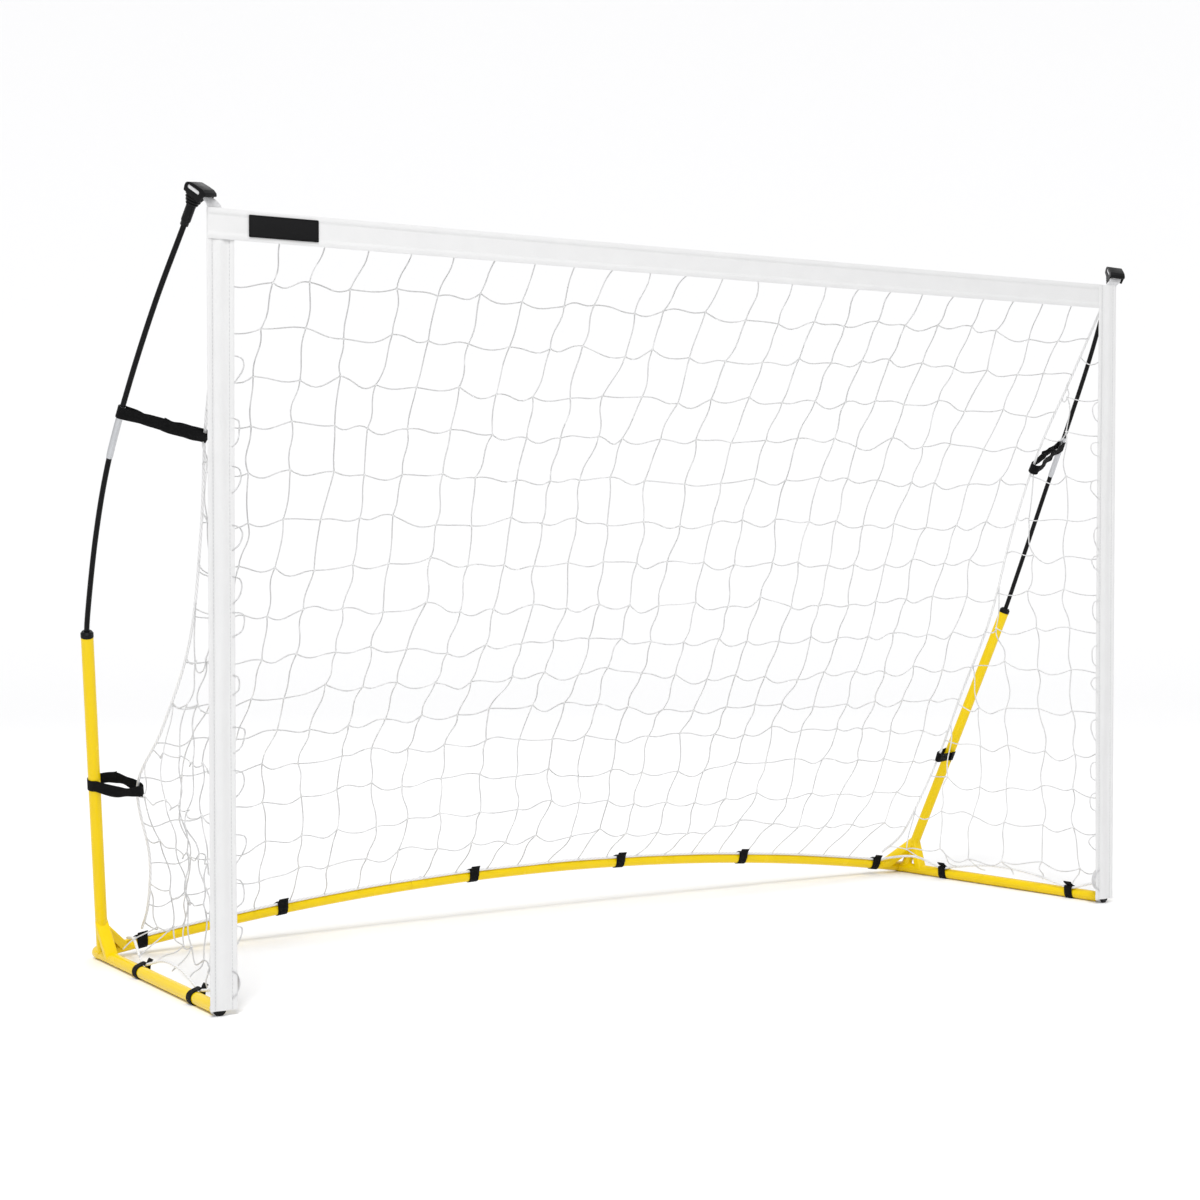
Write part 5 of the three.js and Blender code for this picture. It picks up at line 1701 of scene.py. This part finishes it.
@dataclass
class Strap:
    """A hook-and-loop strap round a tube and a border rope, with its end lapped over."""

    name: str
    at: Vector
    way: Vector
    tube: float
    rope: Vector
    slack: float = 1.2
    lap: float = 0.0
    tail: float = 27.0
    lift: float = 5.0
    droop: float = 0.0
    bow: float = 0.0
    gape: float = 0.0
    skew: float = 0.0
    crumple: float = 0.0
    turn: float = 1.0
    width: float = 25.0
    thickness: float = 1.7

    def belt(self) -> list[Vector]:
        """The strap's middle line, from its sewn end round to its lapped tail."""
        way = self.way.normalized()
        out = self.rope - self.at
        out = out - out.dot(way) * way
        distance = out.length / MM
        x = out.normalized()
        y = way.cross(x) * self.turn
        big = self.tube + 0.3 + self.thickness / 2
        small = LINES.rope_radius + self.slack + self.thickness / 2
        lean = math.acos(max(-1.0, min(1.0, (big - small) / distance)))
        near = Vector((big * math.cos(lean), big * math.sin(lean), 0.0))
        far = Vector((distance + small * math.cos(lean), small * math.sin(lean), 0.0))
        flip = Vector((1.0, -1.0, 1.0))
        bulge = Vector((math.cos(lean), math.sin(lean), 0.0))
        spots: list[Vector] = []
        for k in range(7):
            t = self.lap + (1.0 - self.lap) * k / 7
            swell = bulge * self.bow * math.sin(math.pi * t)
            spots.append(near.lerp(far, t) + swell + UP * self.gape * math.sin(math.pi * t))
        for k in range(9):
            t = lean - 2 * lean * k / 8
            spots.append(Vector((distance + small * math.cos(t), small * math.sin(t), 0.0)))
        for k in range(1, 7):
            t = 1.0 - k / 7
            swell = bulge * self.bow * math.sin(math.pi * t)
            spots.append((near.lerp(far, t) + swell) * flip - UP * self.gape * math.sin(math.pi * t))
        for k in range(33):
            t = -lean - (TAU - 2 * lean) * k / 32
            spots.append(Vector((big * math.cos(t), big * math.sin(t), 0.0)))
        run = (far - near).length
        last = max(self.lap + 0.3, self.tail / run)
        for k in range(1, 10):
            t = last * k / 9
            held = min(1.0, max(0.0, (t - self.lap) / 0.15))
            lift = (self.thickness + 0.3) * held + self.lift * (t / last) ** 4
            swell = bulge * (self.bow * math.sin(math.pi * min(1.0, t)) + lift)
            rise = self.gape * math.sin(math.pi * min(1.0, t)) + self.skew * t
            spots.append(near + (far - near) * t + swell + UP * rise)
        points = []
        for spot in spots:
            sink = self.droop * (max(0.0, spot.x) / max(1.0, distance)) ** 1.5
            points.append(self.at + (x * spot.x + y * spot.y + way * spot.z) * MM - UP * sink * MM)
        return points

    def build(self) -> bpy.types.Object:
        """The strap."""
        line = curved_tight(self.belt(), 0.0018)
        frames = []
        for k, frame in enumerate(frames_along(line, self.way)):
            free = min(1.0, max(0.0, ((line[k] - self.at).length / MM - self.tube - 6) / 25))
            ripple = noise.noise(Vector((k * 0.06, self.tube, len(self.name))))
            frames.append(frame @ Matrix.Rotation(math.radians(self.crumple * free * ripple * 2), 4, "Z"))
        mesh = bmesh.new()
        sweep(mesh, frames, tape(self.width * MM, self.thickness * MM, 6))
        piece = thing(f"{self.name}_tape", mesh, 60)
        finish_piece(piece, LOOP, self.name)
        return piece


def curved_tight(points: Sequence[Vector], step: float) -> list[Vector]:
    """A line through points that are already close together."""
    return evenly(curved([p for k, p in enumerate(points) if k == 0 or (p - points[k - 1]).length > 1e-5], step), step)


@dataclass
class Straps:
    """All the straps."""

    pole_height: dict[Side, float] = field(default_factory=lambda: {Side.LEFT: 1150.0, Side.RIGHT: 1140.0})
    upright_height: dict[Side, float] = field(default_factory=lambda: {Side.LEFT: 396.0, Side.RIGHT: 325.0})
    pole_shape: dict[Side, dict[str, float]] = field(default_factory=lambda: {
        Side.LEFT: {"slack": 3.0, "lap": 0.5, "tail": 150.0, "lift": 4.0, "bow": 3.0, "gape": -3.0,
                    "skew": -9.0, "crumple": 20.0, "droop": 5.0, "turn": 1.0},
        Side.RIGHT: {"slack": 8.0, "lap": 0.3, "tail": 66.0, "lift": 3.0, "bow": -3.0, "gape": 1.0,
                     "crumple": 14.0, "droop": 16.0, "turn": -1.0},
    })
    upright_shape: dict[Side, dict[str, float]] = field(default_factory=lambda: {
        Side.LEFT: {"slack": 6.0, "lap": 0.2, "tail": 36.0, "lift": 5.0, "bow": 5.0, "gape": 8.0,
                    "crumple": 14.0, "droop": 20.0, "turn": 1.0},
        Side.RIGHT: {"slack": 3.0, "lap": 0.1, "tail": 34.0, "lift": 5.0, "bow": 2.0, "gape": 2.0,
                     "crumple": 8.0, "droop": 2.0, "turn": 1.0},
    })

    def nearest(self, rope: Sequence[Vector], at: Vector, way: Vector) -> Vector:
        """The rope's point in the plane that is square to a way at a place."""
        fine = evenly(rope, 0.002)
        near = [p for p in fine if abs((p - at).dot(way)) < 0.003]
        return min(near, key=lambda p: (p - at).length)

    def build(self) -> None:
        """Makes them in order."""
        for number, x in enumerate(REAR_STRAPS, start=1):
            along = Vector((0.0, 1.0, 0.0)).cross(LINES.arch_out(x))
            Strap(f"rear_strap_{number}", LINES.arch(x), along, 12.7, LINES.rope_on_rear(x)).build()
        for side in Side:
            for number, y in enumerate(SIDE_STRAPS[side], start=1):
                at = LINES.side(side, y)
                along = LINES.side(side, y + 1) - at
                Strap(f"side_strap_{side.word}_{number}", at, along, 12.7, LINES.rope_on_side(side, y)).build()
            rope = LINES.edge_rope(side)
            way = LINES.upright_way(side)
            drop = (self.upright_height[side] - 705.0) / way.z
            at = LINES.upright_top(side) + way * drop * MM
            spot = self.nearest(rope, at, way)
            Strap(f"upright_strap_{side.word}", at, way, 12.7, spot, **self.upright_shape[side]).build()
            pole = evenly(LINES.pole(side), 0.001)
            k = min(range(1, len(pole) - 1), key=lambda i: abs(pole[i].z - self.pole_height[side] * MM))
            along = (pole[k + 1] - pole[k - 1]).normalized()
            spot = self.nearest(rope, pole[k], along)
            Strap(f"pole_strap_{side.word}", pole[k], along, 6.8, spot, **self.pole_shape[side]).build()


# ---- studio -------------------------------------------------------------------------------


@dataclass
class Studio:
    """The pale floor, the soft lights and the camera."""

    eye: tuple[float, float, float] = (-3116.0, -4024.0, 913.0)
    heading: float = 0.6062
    pitch: float = -0.0282
    lens: float = 70.16

    def floor(self) -> None:
        """A wide floor that curves up far behind the goal."""
        mesh = bmesh.new()
        bmesh.ops.create_grid(mesh, x_segments=60, y_segments=60, size=30.0)
        for vert in mesh.verts:
            vert.co = Matrix.Rotation(-self.heading, 4, "Z") @ vert.co
        ahead = Vector((math.sin(self.heading), math.cos(self.heading), 0.0))
        for vert in mesh.verts:
            far = max(0.0, vert.co.dot(ahead) - 9.0)
            vert.co.z = 0.09 * far**2
        backdrop = thing("studio_floor", mesh, 80)
        material = bpy.data.materials.new("pale floor")
        material.use_nodes = True
        surface = material.node_tree.nodes["Principled BSDF"]
        surface.inputs["Base Color"].default_value = (0.93, 0.93, 0.935, 1.0)
        surface.inputs["Roughness"].default_value = 0.9
        surface.inputs["Specular IOR Level"].default_value = 0.1
        backdrop.data.materials.append(material)

    def lamp(self, name: str, power: float, size: float, spot: Vector, look: Vector) -> None:
        """A soft square light aimed at a point."""
        data = bpy.data.lights.new(name, "AREA")
        data.energy, data.size = power, size
        lamp = bpy.data.objects.new(name, data)
        lamp.location = spot
        lamp.rotation_euler = (look - spot).to_track_quat("-Z", "Y").to_euler()
        bpy.context.scene.collection.objects.link(lamp)

    def sun(self, name: str, power: float, spread: float, way: Vector) -> None:
        """An even light from a direction, as wide as an angle in degrees."""
        data = bpy.data.lights.new(name, "SUN")
        data.energy, data.angle = power, math.radians(spread)
        lamp = bpy.data.objects.new(name, data)
        lamp.rotation_euler = (-way).to_track_quat("-Z", "Y").to_euler()
        bpy.context.scene.collection.objects.link(lamp)

    def build(self) -> None:
        """Floor, lights, world and camera."""
        self.floor()
        scene = bpy.context.scene
        scene.view_settings.view_transform = "Standard"
        world = bpy.data.worlds.new("studio")
        world.use_nodes = True
        world.node_tree.nodes["Background"].inputs[0].default_value = (1.0, 1.0, 1.0, 1.0)
        world.node_tree.nodes["Background"].inputs[1].default_value = 0.67
        scene.world = world
        middle = place(0, 300, 600)
        self.sun("daylight", 1.15, 15.0, Vector((-0.3, -0.5, 1.0)))
        self.lamp("key", 60.0, 1.6, place(-2600, -2600, 4300), middle)
        self.lamp("rim", 22.0, 2.4, place(1600, 4200, 3600), middle)
        data = bpy.data.cameras.new("camera")
        data.lens, data.sensor_width = self.lens, 36.0
        camera = bpy.data.objects.new("camera", data)
        camera.location = place(*self.eye)
        camera.rotation_euler = (math.pi / 2 + self.pitch, 0.0, -self.heading)
        scene.collection.objects.link(camera)
        scene.camera = camera


def main() -> None:
    """Builds the goal and the studio."""
    logging.basicConfig(level=logging.INFO, format="%(name)s: %(message)s")
    Studio().build()
    SteelBase().build()
    for side in Side:
        SnapJoint(side).build()
        FlexPole(side).build()
    Bands().build()
    BorderRopes().build()
    Net().build()
    Straps().build()


if __name__ == "__main__":
    main()
